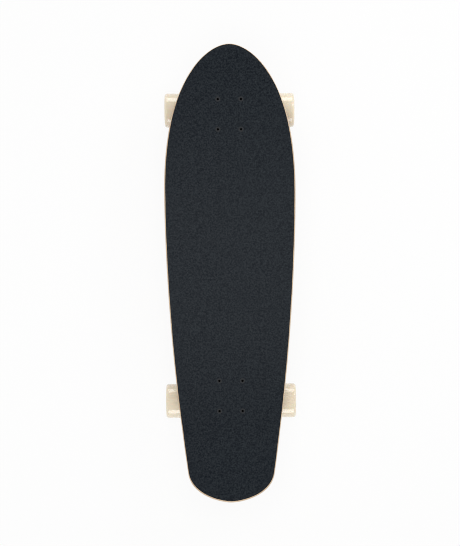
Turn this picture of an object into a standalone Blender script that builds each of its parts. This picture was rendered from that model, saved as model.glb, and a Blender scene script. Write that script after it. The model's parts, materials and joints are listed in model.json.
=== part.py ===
"""Cruiser skateboard with a kicktail, on two traditional kingpin trucks.

Metres, +Z up, +Y towards the nose. The origin is on the floor, under the
middle of the board.
"""

import math

import bmesh
import bpy
import numpy as np
from mathutils import Matrix, Vector
from mathutils.geometry import interpolate_bezier

# Gap between pieces that touch, and the distance at which vertices merge
CLEARANCE = 0.0003
WELD = 0.00001

# Flat sides of a round piece
BOLT_SIDES = 8
SMALL_SIDES = 12
BOSS_SIDES = 16
WHEEL_SIDES = 24

# Deck outline
DECK_LENGTH = 0.815
DECK_WIDTH = 0.235
WIDEST_FORWARD = 0.146
TAIL_CORNER_WIDTH = 0.1545
TAIL_CORNER_BACK = 0.357
TAIL_CORNER_ANGLE = math.radians(8.9)
NOSE_TIP_SPREAD = 0.034
NOSE_SHOULDER = 0.211
WAIST_PULL = 0.026
FLANK_PULL = 0.2555
TAIL_CORNER_PULL = 0.041
TAIL_TIP_SPREAD = 0.016

# Deck pressing
DECK_THICKNESS = 0.011
DECK_EDGE_RADIUS = 0.0025
DECK_EDGE_LEAN = 0.0007
FLAT_WIDTH = 0.064
CONCAVE_RISE = 0.0085
NOSE_LENGTH = 0.081
NOSE_ANGLE = math.radians(10)
NOSE_BEND_RADIUS = 0.200
TAIL_LENGTH = 0.138
TAIL_ANGLE = math.radians(18.5)
TAIL_BEND_RADIUS = 0.120

# Grip tape
GRIP_THICKNESS = 0.0008
GRIP_INSET = 0.0005

# Truck bolts and where they stand
NOSE_TO_BOLTS = 0.099
TAIL_TO_BOLTS = 0.15904
BOLT_SPACING_LONG = 0.05398
BOLT_SPACING_WIDE = 0.0413
BOLT_DIAMETER = 0.0048
BOLT_HEAD_DIAMETER = 0.0096
BOLT_HEAD_ANGLE = math.radians(41)
BOLT_LENGTH = 0.032
BOLT_KEY_WIDTH = 0.0032
BOLT_KEY_DEPTH = 0.0022
DECK_NUT_WIDTH = 0.0095
DECK_NUT_HEIGHT = 0.0056

# Riser pad
RISER_THICKNESS = 0.003
RISER_WINDOW_LENGTH = 0.030
RISER_WINDOW_WIDTH = 0.024

# Baseplate
TRUCK_HEIGHT = 0.054
PLATE_WIDTH = 0.057
PLATE_INBOARD = 0.037
PLATE_OUTBOARD = 0.043
PLATE_THICKNESS = 0.005
PLATE_CORNER_RADIUS = 0.008
BOSS_DIAMETER = 0.029
BOSS_FLARE = 0.003
BOSS_FLARE_HEIGHT = 0.010
RIB_THICKNESS = 0.005
RIB_SPACING = 0.018
RIB_DEPTH = 0.0135
RIB_INBOARD_DEPTH = 0.0075
RIB_TO_PLATE_EDGE = 0.003
HOUSING_WALL = 0.0035

# Kingpin and what it carries
KINGPIN_TILT = math.radians(16)
KINGPIN_SEAT_OUT = -0.004
KINGPIN_SEAT_DEPTH = 0.015
KINGPIN_DIAMETER = 0.0095
KINGPIN_EDGE = 0.0008
KINGPIN_HEAD_WIDTH = 0.0143
KINGPIN_HEAD_HEIGHT = 0.006
KINGPIN_FLOOR = 0.006
KINGPIN_NUT_WIDTH = 0.0143
KINGPIN_NUT_HEIGHT = 0.008
KINGPIN_THREAD_OVER = 0.002
CUP_WASHER_THICKNESS = 0.0016
CUP_WASHER_LIP = 0.0015
CUP_WASHER_WALL = 0.0014
BUSHING_DIAMETER = 0.0245
BUSHING_TIP_DIAMETER = 0.019
BUSHING_EDGE = 0.0015
BOARD_BUSHING_HEIGHT = 0.014
ROAD_BUSHING_HEIGHT = 0.012

# Hanger
RING_WEB = 0.004
RING_RIM = 0.0025
RING_WALL = 0.0043
RING_EDGE = 0.0009
RING_HOLE_DIAMETER = 0.015
HANGER_WIDTH = 0.1524
HANGER_END_DIAMETER = 0.0184
HANGER_END_EDGE = 0.001
HANGER_MIDDLE_DIAMETER = 0.026
YOKE_WIDTH = 0.060
YOKE_EDGE = 0.0015
GUSSET_WIDTH = 0.116
GUSSET_THICKNESS = 0.014

# Pivot
PIVOT_OUT = 0.029
PIVOT_DEPTH = 0.012
PIVOT_SLOPE = math.radians(50)
PIVOT_BALL_DIAMETER = 0.011
PIVOT_ROOT_DIAMETER = 0.020
PIVOT_CUP_WALL = 0.0024
PIVOT_CUP_REACH = 0.0095
PIVOT_CUP_FLARE = 0.0007

# Axle and the stack on each end of it
AXLE_OUT = 0.0131
AXLE_DIAMETER = 0.0079
AXLE_THREAD_OVER = 0.0023
AXLE_EDGE = 0.0006
SPEED_WASHER_DIAMETER = 0.0126
SPEED_WASHER_THICKNESS = 0.001
AXLE_NUT_WIDTH = 0.0127
AXLE_NUT_HEIGHT = 0.008
SPACER_DIAMETER = 0.0102
SPACER_LENGTH = 0.010

# Bearings
BEARING_DIAMETER = 0.022
BEARING_WIDTH = 0.007
INNER_RING_DIAMETER = 0.0118
OUTER_RING_BORE = 0.0184
SHIELD_THICKNESS = 0.0004

# Wheels
WHEEL_DIAMETER = 0.062
WHEEL_WIDTH = 0.051
WHEEL_SEAT_OFFSET = 0.0021
WHEEL_LIP_RADIUS = 0.0045
WHEEL_FACE_DIAMETER = 0.036
WHEEL_WEB_BORE = 0.0168
WHEEL_MOUTH_OVER = 0.001

# Heights above the floor and places along the board
MOUNT_Z = WHEEL_DIAMETER / 2 + TRUCK_HEIGHT
RISER_Z = MOUNT_Z + CLEARANCE
DECK_Z = RISER_Z + RISER_THICKNESS + CLEARANCE
DECK_MIDDLE_Z = DECK_Z + DECK_THICKNESS / 2
GRIP_LIFT = DECK_THICKNESS / 2 + CLEARANCE + GRIP_THICKNESS / 2
GRIP_TOP_Z = DECK_MIDDLE_Z + GRIP_LIFT + GRIP_THICKNESS / 2
FRONT_Y = DECK_LENGTH / 2 - NOSE_TO_BOLTS - BOLT_SPACING_LONG / 2
REAR_Y = TAIL_TO_BOLTS + BOLT_SPACING_LONG / 2 - DECK_LENGTH / 2

# Distances down the kingpin, from the baseplate's seat
BOARD_WASHER_S = CLEARANCE
BOARD_BUSHING_S = BOARD_WASHER_S + CUP_WASHER_THICKNESS + CLEARANCE
WEB_S = BOARD_BUSHING_S + BOARD_BUSHING_HEIGHT + CLEARANCE
ROAD_BUSHING_S = WEB_S + RING_WEB + CLEARANCE
ROAD_WASHER_S = ROAD_BUSHING_S + ROAD_BUSHING_HEIGHT + CLEARANCE
KINGPIN_NUT_S = ROAD_WASHER_S + CUP_WASHER_THICKNESS + CLEARANCE
KINGPIN_END_S = KINGPIN_NUT_S + KINGPIN_NUT_HEIGHT + KINGPIN_THREAD_OVER

# Places in a truck's own frame: +Y is outboard, and the mounting face is at zero height
SEAT = Vector((0, KINGPIN_SEAT_OUT, -KINGPIN_SEAT_DEPTH))
KINGPIN_DOWN = Vector((0, -math.sin(KINGPIN_TILT), -math.cos(KINGPIN_TILT)))
RING_CENTRE = SEAT + KINGPIN_DOWN * (WEB_S + RING_WEB / 2)
BALL_CENTRE = Vector((0, PIVOT_OUT, -PIVOT_DEPTH))
AXLE_CENTRE = Vector((0, AXLE_OUT, -TRUCK_HEIGHT))
KINGPIN_TURN = Matrix.Rotation(-KINGPIN_TILT, 4, "X")
# Turned about its own Z axis, the pivot points down and inboard
PIVOT_TURN = Matrix.Rotation(math.pi / 2 + PIVOT_SLOPE, 4, "X")

# Distances out along the axle, from the middle of the truck
INNER_WASHER_X = HANGER_WIDTH / 2 + CLEARANCE
INNER_BEARING_X = INNER_WASHER_X + SPEED_WASHER_THICKNESS + CLEARANCE
SPACER_X = INNER_BEARING_X + BEARING_WIDTH + CLEARANCE
OUTER_BEARING_X = SPACER_X + SPACER_LENGTH + CLEARANCE
OUTER_WASHER_X = OUTER_BEARING_X + BEARING_WIDTH + CLEARANCE
AXLE_NUT_X = OUTER_WASHER_X + SPEED_WASHER_THICKNESS + CLEARANCE
AXLE_END_X = AXLE_NUT_X + AXLE_NUT_HEIGHT + AXLE_THREAD_OVER
WHEEL_X = SPACER_X + SPACER_LENGTH / 2
# From the wheel's middle to the middle of each bearing
BEARING_MIDDLE = SPACER_LENGTH / 2 + CLEARANCE + BEARING_WIDTH / 2


for stale in list(bpy.data.objects):
    bpy.data.objects.remove(stale)

BOARD = bpy.data.collections.new("cruiser_skateboard")
CUTTERS = bpy.data.collections.new("cutters")
for made in (BOARD, CUTTERS):
    bpy.context.scene.collection.children.link(made)


def finish(name, colour, roughness, metallic=0.0):
    """A plain material."""
    material = bpy.data.materials.new(name)
    material.use_nodes = True
    shader = material.node_tree.nodes["Principled BSDF"]
    shader.inputs["Base Color"].default_value = (*colour, 1.0)
    shader.inputs["Roughness"].default_value = roughness
    shader.inputs["Metallic"].default_value = metallic
    return material


def empty(name, parent=None, location=(0, 0, 0), rotation=(0, 0, 0)):
    """An empty that carries pieces."""
    made = bpy.data.objects.new(name, None)
    made.empty_display_size = 0.01
    made.parent = parent
    made.location = location
    made.rotation_euler = rotation
    BOARD.objects.link(made)
    return made


def piece(name, mesh, material, parent=None, location=(0, 0, 0), rotation=(0, 0, 0)):
    """A named part of the board."""
    made = bpy.data.objects.new(name, mesh)
    made.parent = parent
    made.location = location
    made.rotation_euler = rotation
    if not mesh.materials:
        mesh.materials.append(material)
    BOARD.objects.link(made)
    return made


def cutter(name, mesh):
    """A shape that cuts or joins another, and is no part itself."""
    made = bpy.data.objects.new(name, mesh)
    made.hide_render = True
    made.display_type = "WIRE"
    CUTTERS.objects.link(made)
    return made


def baked(made, smooth=math.radians(35)):
    """The evaluated mesh of an object, welded and shaded; the object is removed."""
    graph = bpy.context.evaluated_depsgraph_get()
    mesh = bpy.data.meshes.new_from_object(made.evaluated_get(graph))
    bpy.data.objects.remove(made)
    shape = bmesh.new()
    shape.from_mesh(mesh)
    bmesh.ops.remove_doubles(shape, verts=shape.verts, dist=WELD)
    bmesh.ops.dissolve_degenerate(shape, edges=shape.edges, dist=WELD)
    bmesh.ops.recalc_face_normals(shape, faces=shape.faces)
    shape.to_mesh(mesh)
    shape.free()
    mesh.shade_smooth()
    mesh.set_sharp_from_angle(angle=smooth)
    return mesh


def turned(profile, steps, closed=False):
    """A profile of (radius, height) points turned about Z. It runs down its outer side."""
    outline = bmesh.new()
    points = [outline.verts.new((radius, 0, height)) for radius, height in profile]
    ends = points[1:] + points[:1] if closed else points[1:]
    for start, end in zip(points, ends):
        # A stretch along the axis itself turns into nothing
        if start.co.x or end.co.x:
            outline.edges.new((start, end))
    mesh = bpy.data.meshes.new("profile")
    outline.to_mesh(mesh)
    outline.free()
    made = cutter("turning", mesh)
    screw = made.modifiers.new("turn", "SCREW")
    screw.steps = steps
    screw.render_steps = steps
    screw.use_merge_vertices = True
    screw.merge_threshold = WELD
    return baked(made)


def rod(radius, top, bottom, steps, edge=0.0):
    """A solid cylinder about Z between two heights, its edges cut off by edge."""
    profile = [(0, top), (radius - edge, top), (radius, top - edge)]
    profile += [(radius, bottom + edge), (radius - edge, bottom), (0, bottom)]
    if edge == 0:
        profile = [(0, top), (radius, top), (radius, bottom), (0, bottom)]
    return turned(profile, steps)


def hexagon(width, top, bottom):
    """A hexagonal prism about Z, width across its flats."""
    return rod(width / 2 / math.cos(math.pi / 6), top, bottom, 6)


def slab(outline, thickness, edge=0.0):
    """A flat outline in XY, thickened evenly both ways, with its edges rounded off."""
    curve = bpy.data.curves.new("outline", "CURVE")
    curve.dimensions = "2D"
    curve.fill_mode = "BOTH"
    curve.extrude = thickness / 2
    spline = curve.splines.new("POLY")
    spline.points.add(len(outline) - 1)
    for point, (x, y) in zip(spline.points, outline):
        point.co = (x, y, 0, 1)
    spline.use_cyclic_u = True
    mesh = baked(cutter("outline", curve))
    if edge == 0:
        return mesh
    made = cutter("slab", mesh)
    rounding = made.modifiers.new("edge", "BEVEL")
    rounding.width = edge
    rounding.segments = 1
    rounding.limit_method = "ANGLE"
    rounding.angle_limit = math.radians(60)
    return baked(made)


def moved(mesh, matrix):
    """The same mesh, in another place."""
    mesh.transform(matrix)
    return mesh


def shaped(mesh, added=(), cut=()):
    """A solid with others joined to it, and then others cut out of it."""
    made = cutter("stock", mesh)
    tools = []
    for operation, shapes in (("UNION", added), ("DIFFERENCE", cut)):
        for shape in shapes:
            tool = cutter("tool", shape)
            boolean = made.modifiers.new("shape", "BOOLEAN")
            boolean.operation = operation
            boolean.solver = "EXACT"
            boolean.object = tool
            tools.append(tool)
    mesh = baked(made)
    for tool in tools:
        bpy.data.objects.remove(tool)
    return mesh


def rounded_rectangle(left, right, low, high, radius, steps=3):
    """Outline points of a rectangle with round corners, anticlockwise."""
    corners = ((right, high, 0), (left, high, 1), (left, low, 2), (right, low, 3))
    points = []
    for x, y, quarter in corners:
        centre_x = x - math.copysign(radius, x - (left + right) / 2)
        centre_y = y - math.copysign(radius, y - (low + high) / 2)
        for step in range(steps + 1):
            angle = (quarter + step / steps) * math.pi / 2
            points.append((centre_x + radius * math.cos(angle), centre_y + radius * math.sin(angle)))
    return points


def bolt_places(height=0.0):
    """The four bolt places about a truck's middle."""
    half_wide = BOLT_SPACING_WIDE / 2
    half_long = BOLT_SPACING_LONG / 2
    signs = ((-1, -1), (1, -1), (1, 1), (-1, 1))
    return [Vector((x * half_wide, y * half_long, height)) for x, y in signs]


# The deck's outline

def outline_points():
    """The right half of the deck's outline, from the nose's tip to the tail's."""
    lean = Vector((math.sin(TAIL_CORNER_ANGLE), math.cos(TAIL_CORNER_ANGLE)))
    nose = Vector((0, DECK_LENGTH / 2))
    widest = Vector((DECK_WIDTH / 2, WIDEST_FORWARD))
    corner = Vector((TAIL_CORNER_WIDTH / 2, -TAIL_CORNER_BACK))
    tail = Vector((0, -DECK_LENGTH / 2))
    stretches = (
        (nose, nose + Vector((NOSE_TIP_SPREAD, 0)), widest + Vector((0, NOSE_SHOULDER)), widest),
        (widest, widest - Vector((0, WAIST_PULL)), corner + lean * FLANK_PULL, corner),
        (corner, corner - lean * TAIL_CORNER_PULL, tail + Vector((TAIL_TIP_SPREAD, 0)), tail),
    )
    points = []
    for stretch in stretches:
        points += interpolate_bezier(*stretch, 80)[:-1]
    return np.array([*points, tail])


def inset_outline(inset):
    """The right half outline, drawn in by an even margin, and the distance along it."""
    points = outline_points()
    along = np.gradient(points, axis=0)
    along /= np.linalg.norm(along, axis=1)[:, None]
    points = points + inset * np.stack([along[:, 1], -along[:, 0]], axis=1)
    points[:, 0] = np.maximum(points[:, 0], 0)
    run = np.concatenate([[0], np.cumsum(np.linalg.norm(np.diff(points, axis=0), axis=1))])
    return points, run


def end_rise(distance, radius, angle):
    """Height of an end that bends up over a radius and then runs straight."""
    bend = radius * math.sin(angle)
    if distance <= 0:
        return 0.0
    if distance < bend:
        return radius - math.sqrt(radius ** 2 - distance ** 2)
    return radius * (1 - math.cos(angle)) + (distance - bend) * math.tan(angle)


def deck_rise(x, y):
    """Height of the deck's surface over its flat middle."""
    nose = end_rise(y - (DECK_LENGTH / 2 - NOSE_LENGTH), NOSE_BEND_RADIUS, NOSE_ANGLE)
    tail = end_rise(-y - (DECK_LENGTH / 2 - TAIL_LENGTH), TAIL_BEND_RADIUS, TAIL_ANGLE)
    past_flat = max(0.0, abs(x) - FLAT_WIDTH / 2) / (DECK_WIDTH / 2 - FLAT_WIDTH / 2)
    return nose + tail + CONCAVE_RISE * past_flat ** 2


def board_surface(inset, columns=8):
    """The middle surface of the pressed deck as a grid inside the outline, drawn in by a margin.

    The grid's sides follow the flanks. Near each end its rows bow out until the last
    one follows the round tip. The rows lie closest where the surface or the outline bends.
    """
    points, run = inset_outline(inset)
    side_y = points[::-1, 1]
    side_x = points[::-1, 0]
    nose_corner = DECK_LENGTH / 2 - DECK_WIDTH / 10
    tail_corner = -(DECK_LENGTH / 2 + TAIL_CORNER_BACK) / 2
    bow_length = DECK_WIDTH / 3
    tail_bend = TAIL_LENGTH - DECK_LENGTH / 2
    stops = (
        (tail_corner, 0),
        (tail_bend - TAIL_BEND_RADIUS * math.sin(TAIL_ANGLE), 4),
        (tail_bend, 4),
        (WIDEST_FORWARD, 6),
        (DECK_LENGTH / 2 - NOSE_LENGTH, 7),
        (nose_corner, 5),
    )
    row_stops = np.cumsum([count for _, count in stops])
    rows = int(row_stops[-1])
    nose_run = np.interp(-nose_corner, -points[:, 1], run)
    tail_run = run[-1] - np.interp(-tail_corner, -points[:, 1], run)

    surface = bmesh.new()
    bmesh.ops.create_grid(surface, x_segments=columns, y_segments=rows, size=1)
    for vertex in surface.verts:
        across = vertex.co.x
        y = np.interp((vertex.co.y + 1) / 2 * rows, row_stops, [place for place, _ in stops])
        half = np.interp(y, side_y, side_x)
        x = across * half
        if y > nose_corner - bow_length:
            weight = (1 - (nose_corner - y) / bow_length) ** 2
            tip = abs(across) * nose_run
            tip_x = math.copysign(np.interp(tip, run, points[:, 0]), across)
            tip_y = np.interp(tip, run, points[:, 1])
            x += weight * (tip_x - across * np.interp(nose_corner, side_y, side_x))
            y += weight * (tip_y - nose_corner)
        elif y < tail_corner + bow_length:
            weight = (1 - (y - tail_corner) / bow_length) ** 2
            tip = run[-1] - abs(across) * tail_run
            tip_x = math.copysign(np.interp(tip, run, points[:, 0]), across)
            tip_y = np.interp(tip, run, points[:, 1])
            x += weight * (tip_x - across * np.interp(tail_corner, side_y, side_x))
            y += weight * (tip_y - tail_corner)
        vertex.co = (x, y, DECK_MIDDLE_Z + deck_rise(x, y))
    mesh = bpy.data.meshes.new("board_surface")
    surface.to_mesh(mesh)
    surface.free()
    return mesh


def board_sheet(inset, lift, thickness, edge=0.0):
    """A sheet that follows the pressed deck, lifted off its middle surface, with a rounded rim."""
    made = cutter("sheet", board_surface(inset))
    raised = made.modifiers.new("lift", "DISPLACE")
    raised.strength = lift
    raised.mid_level = 0
    solid = made.modifiers.new("thickness", "SOLIDIFY")
    solid.thickness = thickness
    solid.offset = 0
    solid.use_even_offset = True
    if edge:
        rounding = made.modifiers.new("edge", "BEVEL")
        rounding.width = edge
        rounding.segments = 2
        rounding.limit_method = "ANGLE"
        rounding.angle_limit = math.radians(50)
    return baked(made)


# Shapes that repeat on both trucks, in the truck's own frame

def block(low, high):
    """A box between two corners."""
    shape = bmesh.new()
    bmesh.ops.create_cube(shape, size=1)
    size = Vector(high) - Vector(low)
    centre = (Vector(high) + Vector(low)) / 2
    fitted = Matrix.Translation(centre) @ Matrix.Diagonal((*size, 1))
    bmesh.ops.transform(shape, matrix=fitted, verts=shape.verts)
    mesh = bpy.data.meshes.new("block")
    shape.to_mesh(mesh)
    shape.free()
    return mesh


def bolt_profile(head_top, grown=0.0):
    """A flat-head bolt's outline from its head's top down, grown all round for its hole."""
    head = BOLT_HEAD_DIAMETER / 2
    shank = BOLT_DIAMETER / 2
    cone = (head - shank) / math.tan(BOLT_HEAD_ANGLE)
    return [
        (0, head_top + grown),
        (head + grown, head_top + grown),
        (head + grown, head_top - grown),
        (shank + grown, head_top - cone - grown),
        (shank + grown, head_top - BOLT_LENGTH - grown),
        (0, head_top - BOLT_LENGTH - grown),
    ]


def bolt_holes(mesh, head_top):
    """The same mesh with the four bolts' holes through it, sunk for their heads."""
    hole = turned(bolt_profile(head_top, CLEARANCE), BOLT_SIDES)
    return shaped(mesh, cut=[moved(hole.copy(), Matrix.Translation(place)) for place in bolt_places()])


def deck_bolt(head_top):
    """A flat-head bolt with a hexagonal key hole."""
    profile = bolt_profile(head_top)
    profile.pop(2)
    bolt = turned(profile, BOLT_SIDES)
    key = hexagon(BOLT_KEY_WIDTH, head_top + BOLT_KEY_DEPTH, head_top - BOLT_KEY_DEPTH)
    return shaped(bolt, cut=[key])


def nut(width, height, thread, sides):
    """A hexagonal nut about Z for a thread of this diameter, its top at zero height."""
    hole = rod(thread / 2 + CLEARANCE, height, -2 * height, sides)
    return shaped(hexagon(width, 0, -height), cut=[hole])


def plate_outline():
    """The outline that the baseplate and the riser pad share."""
    half = PLATE_WIDTH / 2
    return rounded_rectangle(-half, half, -PLATE_INBOARD, PLATE_OUTBOARD, PLATE_CORNER_RADIUS)


def riser_pad():
    """A flat pad with a window over the kingpin's head."""
    pad = slab(plate_outline(), RISER_THICKNESS)
    half_wide = RISER_WINDOW_WIDTH / 2
    half_long = RISER_WINDOW_LENGTH / 2
    window = rounded_rectangle(-half_wide, half_wide, -half_long, half_long, half_wide / 2)
    pad = shaped(pad, cut=[slab(window, 2 * RISER_THICKNESS)])
    middle = RISER_Z + RISER_THICKNESS / 2 - MOUNT_Z
    return bolt_holes(moved(pad, Matrix.Translation((0, 0, middle))), GRIP_TOP_Z - MOUNT_Z)


def domed(radius, mouth, steps=4):
    """Outline of a rod with a half-round lower end about the origin, from its top down."""
    profile = [(0, mouth), (radius, mouth)]
    for step in range(steps + 1):
        angle = step / steps * math.pi / 2
        profile.append((radius * math.cos(angle), -radius * math.sin(angle)))
    profile[-1] = (0, -radius)
    return profile


def kingpin_frame():
    """Places a shape that stands on the kingpin's seat."""
    return Matrix.Translation(SEAT) @ KINGPIN_TURN


def pivot_frame():
    """Places a shape about the pivot ball, its Z axis towards the hanger."""
    return Matrix.Translation(BALL_CENTRE) @ PIVOT_TURN


def pivot_radius(along):
    """Radius of the hanger's pivot at a distance from its ball's centre."""
    ball = PIVOT_BALL_DIAMETER / 2
    root = PIVOT_ROOT_DIAMETER / 2
    return ball + (root - ball) * max(0.0, along - ball) / (PIVOT_ROOT - ball)


def pivot_root():
    """Distance from the ball's centre, along the pivot, to the middle plane of the ring."""
    along = PIVOT_TURN @ Vector((0, 0, 1))
    return (RING_CENTRE - BALL_CENTRE).dot(KINGPIN_DOWN) / along.dot(KINGPIN_DOWN)


PIVOT_ROOT = pivot_root()
CUP_RADIUS = PIVOT_BALL_DIAMETER / 2 + CLEARANCE + PIVOT_CUP_WALL
HOUSING_RADIUS = CUP_RADIUS + CLEARANCE + HOUSING_WALL
SEAT_RADIUS = BUSHING_DIAMETER / 2 + CLEARANCE
RING_RADIUS = SEAT_RADIUS + RING_WALL


def rib(side):
    """A rib under the plate that ties the kingpin's boss to the pivot's housing."""
    boss = BOSS_DIAMETER / 2
    inside_plate = -PLATE_THICKNESS / 2
    outline = [
        (RIB_TO_PLATE_EDGE - PLATE_INBOARD, inside_plate),
        (KINGPIN_SEAT_OUT - boss, -RIB_INBOARD_DEPTH),
        (KINGPIN_SEAT_OUT + boss, -RIB_DEPTH),
        (PIVOT_OUT, -RIB_DEPTH),
        (PLATE_OUTBOARD - RIB_TO_PLATE_EDGE, inside_plate),
    ]
    # A slab lies in XY: its X runs outboard and its Y runs up once it stands in the YZ plane
    stand = Matrix(((0, 0, 1, side * RIB_SPACING / 2), (1, 0, 0, 0), (0, 1, 0, 0), (0, 0, 0, 1)))
    return moved(slab(outline, RIB_THICKNESS), stand)


def baseplate():
    """Cast plate with a tilted boss for the kingpin and a housing for the pivot cup."""
    plate = slab(plate_outline(), PLATE_THICKNESS)
    plate = moved(plate, Matrix.Translation((0, 0, -PLATE_THICKNESS / 2)))
    radius = BOSS_DIAMETER / 2
    over = KINGPIN_SEAT_DEPTH + radius
    profile = [(0, over), (radius + BOSS_FLARE, over), (radius + BOSS_FLARE, KINGPIN_SEAT_DEPTH)]
    profile += [(radius, KINGPIN_SEAT_DEPTH - BOSS_FLARE_HEIGHT), (radius, 0), (0, 0)]
    boss = moved(turned(profile, BOSS_SIDES), kingpin_frame())
    housing = moved(turned(domed(HOUSING_RADIUS, PIVOT_CUP_REACH), BOSS_SIDES), pivot_frame())
    above = block((-PLATE_WIDTH, -2 * PLATE_INBOARD, 0), (PLATE_WIDTH, 2 * PLATE_OUTBOARD, 2 * over))
    bore = rod(KINGPIN_DIAMETER / 2 + CLEARANCE, over, -over, SMALL_SIDES)
    pocket = hexagon(KINGPIN_HEAD_WIDTH + 2 * CLEARANCE, 2 * over, KINGPIN_FLOOR)
    cup_bore = turned(domed(CUP_RADIUS + CLEARANCE, 2 * PIVOT_CUP_REACH), SMALL_SIDES)
    cuts = [
        above,
        moved(bore, kingpin_frame()),
        moved(pocket, kingpin_frame()),
        moved(cup_bore, pivot_frame()),
    ]
    plate = shaped(plate, added=[boss, housing, rib(-1), rib(1)], cut=cuts)
    return bolt_holes(plate, GRIP_TOP_Z - MOUNT_Z)


def pivot_cup():
    """Urethane cup round the pivot ball, its mouth flared to let the hanger swing."""
    outer = domed(CUP_RADIUS, PIVOT_CUP_REACH)[1:]
    ball = PIVOT_BALL_DIAMETER / 2 + CLEARANCE
    mouth = pivot_radius(PIVOT_CUP_REACH) + CLEARANCE + PIVOT_CUP_FLARE
    inner = domed(ball, 0)[:0:-1]
    return turned(outer + inner + [(mouth, PIVOT_CUP_REACH)], SMALL_SIDES, closed=True)


def kingpin():
    """Hexagon-headed bolt, held by its head in the baseplate's pocket."""
    head_low = KINGPIN_FLOOR + CLEARANCE
    head = hexagon(KINGPIN_HEAD_WIDTH, head_low + KINGPIN_HEAD_HEIGHT, head_low)
    inside_head = head_low + KINGPIN_HEAD_HEIGHT / 2
    shank = rod(KINGPIN_DIAMETER / 2, inside_head, -KINGPIN_END_S, SMALL_SIDES, KINGPIN_EDGE)
    return shaped(head, added=[shank])


def cup_washer(bushing_diameter):
    """Steel washer with a turned-up lip round the bushing; its flat face is at zero height."""
    seat = bushing_diameter / 2 + CLEARANCE
    outer = seat + CUP_WASHER_WALL
    bore = KINGPIN_DIAMETER / 2 + CLEARANCE
    deep = CUP_WASHER_THICKNESS + CUP_WASHER_LIP
    profile = [(outer, 0), (outer, -deep), (seat, -deep)]
    profile += [(seat, -CUP_WASHER_THICKNESS), (bore, -CUP_WASHER_THICKNESS), (bore, 0)]
    return turned(profile, SMALL_SIDES, closed=True)


def bushing(height, low_diameter):
    """Urethane bushing with its top at zero height."""
    top = BUSHING_DIAMETER / 2
    low = low_diameter / 2
    bore = KINGPIN_DIAMETER / 2 + CLEARANCE
    profile = [(top - BUSHING_EDGE, 0), (top, -BUSHING_EDGE)]
    profile += [(low, BUSHING_EDGE - height), (low - BUSHING_EDGE, -height)]
    return turned(profile + [(bore, -height), (bore, 0)], SMALL_SIDES, closed=True)


def mirrored(right):
    """A whole outline from its right half, which runs upwards."""
    return right + [(-x, y) for x, y in reversed(right)]


def yoke():
    """Flat web in the ring's middle plane, from the ring out to the pivot's root."""
    root = pivot_frame() @ Vector((0, 0, PIVOT_ROOT))
    reach = (root - RING_CENTRE).length
    ring_side = Vector((RING_RADIUS - RING_WALL / 2, 0))
    arm_side = Vector((YOKE_WIDTH / 2, reach))
    forward = Vector((0, reach / 2))
    sideways = Vector((reach / 2, 0))
    side = interpolate_bezier(ring_side, ring_side + forward, arm_side - sideways, arm_side, 5)
    right = [(point.x, point.y) for point in side]
    right.append((YOKE_WIDTH / 2, reach + GUSSET_THICKNESS / 2))
    web = slab(mirrored(right), RING_WEB + RING_RIM, YOKE_EDGE)
    return moved(web, Matrix.Translation(RING_CENTRE) @ KINGPIN_TURN)


def gusset():
    """Upright web from inside the yoke down onto the axle's arms, spreading as it goes."""
    root = pivot_frame() @ Vector((0, 0, PIVOT_ROOT))
    rise = root - AXLE_CENTRE
    low = Vector((GUSSET_WIDTH / 2, HANGER_END_DIAMETER / 2))
    high = Vector((YOKE_WIDTH / 2 - GUSSET_THICKNESS / 2, rise.length + RING_WEB / 2))
    run = (low.x - high.x) / 2
    drop = (high.y - low.y) / 2
    side = interpolate_bezier(low, low - Vector((run, 0)), high - Vector((0, drop)), high, 5)
    right = [(low.x, 0)] + [(point.x, point.y) for point in side]
    web = slab(mirrored(right), GUSSET_THICKNESS, YOKE_EDGE)
    lean = Matrix.Rotation(math.atan2(rise.z, rise.y), 4, "X")
    return moved(web, Matrix.Translation(AXLE_CENTRE) @ lean)


def arm_profile(steps=3):
    """Radius along the hanger's two arms, from one end to the other."""
    end = HANGER_END_DIAMETER / 2
    middle = HANGER_MIDDLE_DIAMETER / 2
    half = HANGER_WIDTH / 2
    side = []
    for step in range(steps + 1):
        part = step / steps
        side.append((end + (middle - end) * (1 - part ** 2) ** 2, part * half))
    side[-1] = (end, half - HANGER_END_EDGE)
    side.append((end - HANGER_END_EDGE, half))
    return [(0, half)] + side[:0:-1] + [(radius, -height) for radius, height in side] + [(0, -half)]


def hanger():
    """Cast hanger: ring, yoke, pivot and two tapered arms, its origin in the ring's centre."""
    across = Matrix.Translation(AXLE_CENTRE) @ Matrix.Rotation(math.pi / 2, 4, "Y")
    arms = moved(turned(arm_profile(), BOSS_SIDES), across)
    ring_top = RING_RIM - WEB_S
    ring_low = -WEB_S - RING_WEB - RING_RIM
    disc = moved(rod(RING_RADIUS, ring_top, ring_low, BOSS_SIDES, RING_EDGE), kingpin_frame())
    ball = PIVOT_BALL_DIAMETER / 2
    pivot = [(PIVOT_ROOT_DIAMETER / 2, PIVOT_ROOT), (ball, ball)]
    pivot = [(0, PIVOT_ROOT)] + pivot + domed(ball, 0)[2:]
    pivot = moved(turned(pivot, SMALL_SIDES), pivot_frame())
    far = 4 * RING_RADIUS
    hole = RING_HOLE_DIAMETER / 2
    web_low = -WEB_S - RING_WEB
    # Both seats and the hole between them are one cut, round the kingpin
    rooms = [(0, far), (SEAT_RADIUS, far), (SEAT_RADIUS, -WEB_S), (hole, -WEB_S)]
    rooms += [(hole, web_low), (SEAT_RADIUS, web_low), (SEAT_RADIUS, -far), (0, -far)]
    bore = rod(AXLE_DIAMETER / 2 + CLEARANCE, HANGER_WIDTH, -HANGER_WIDTH, SMALL_SIDES)
    cuts = [moved(turned(rooms, SMALL_SIDES), kingpin_frame()), moved(bore, across)]
    body = shaped(arms, added=[disc, yoke(), gusset(), pivot], cut=cuts)
    return moved(body, Matrix.Translation(-RING_CENTRE))


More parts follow.
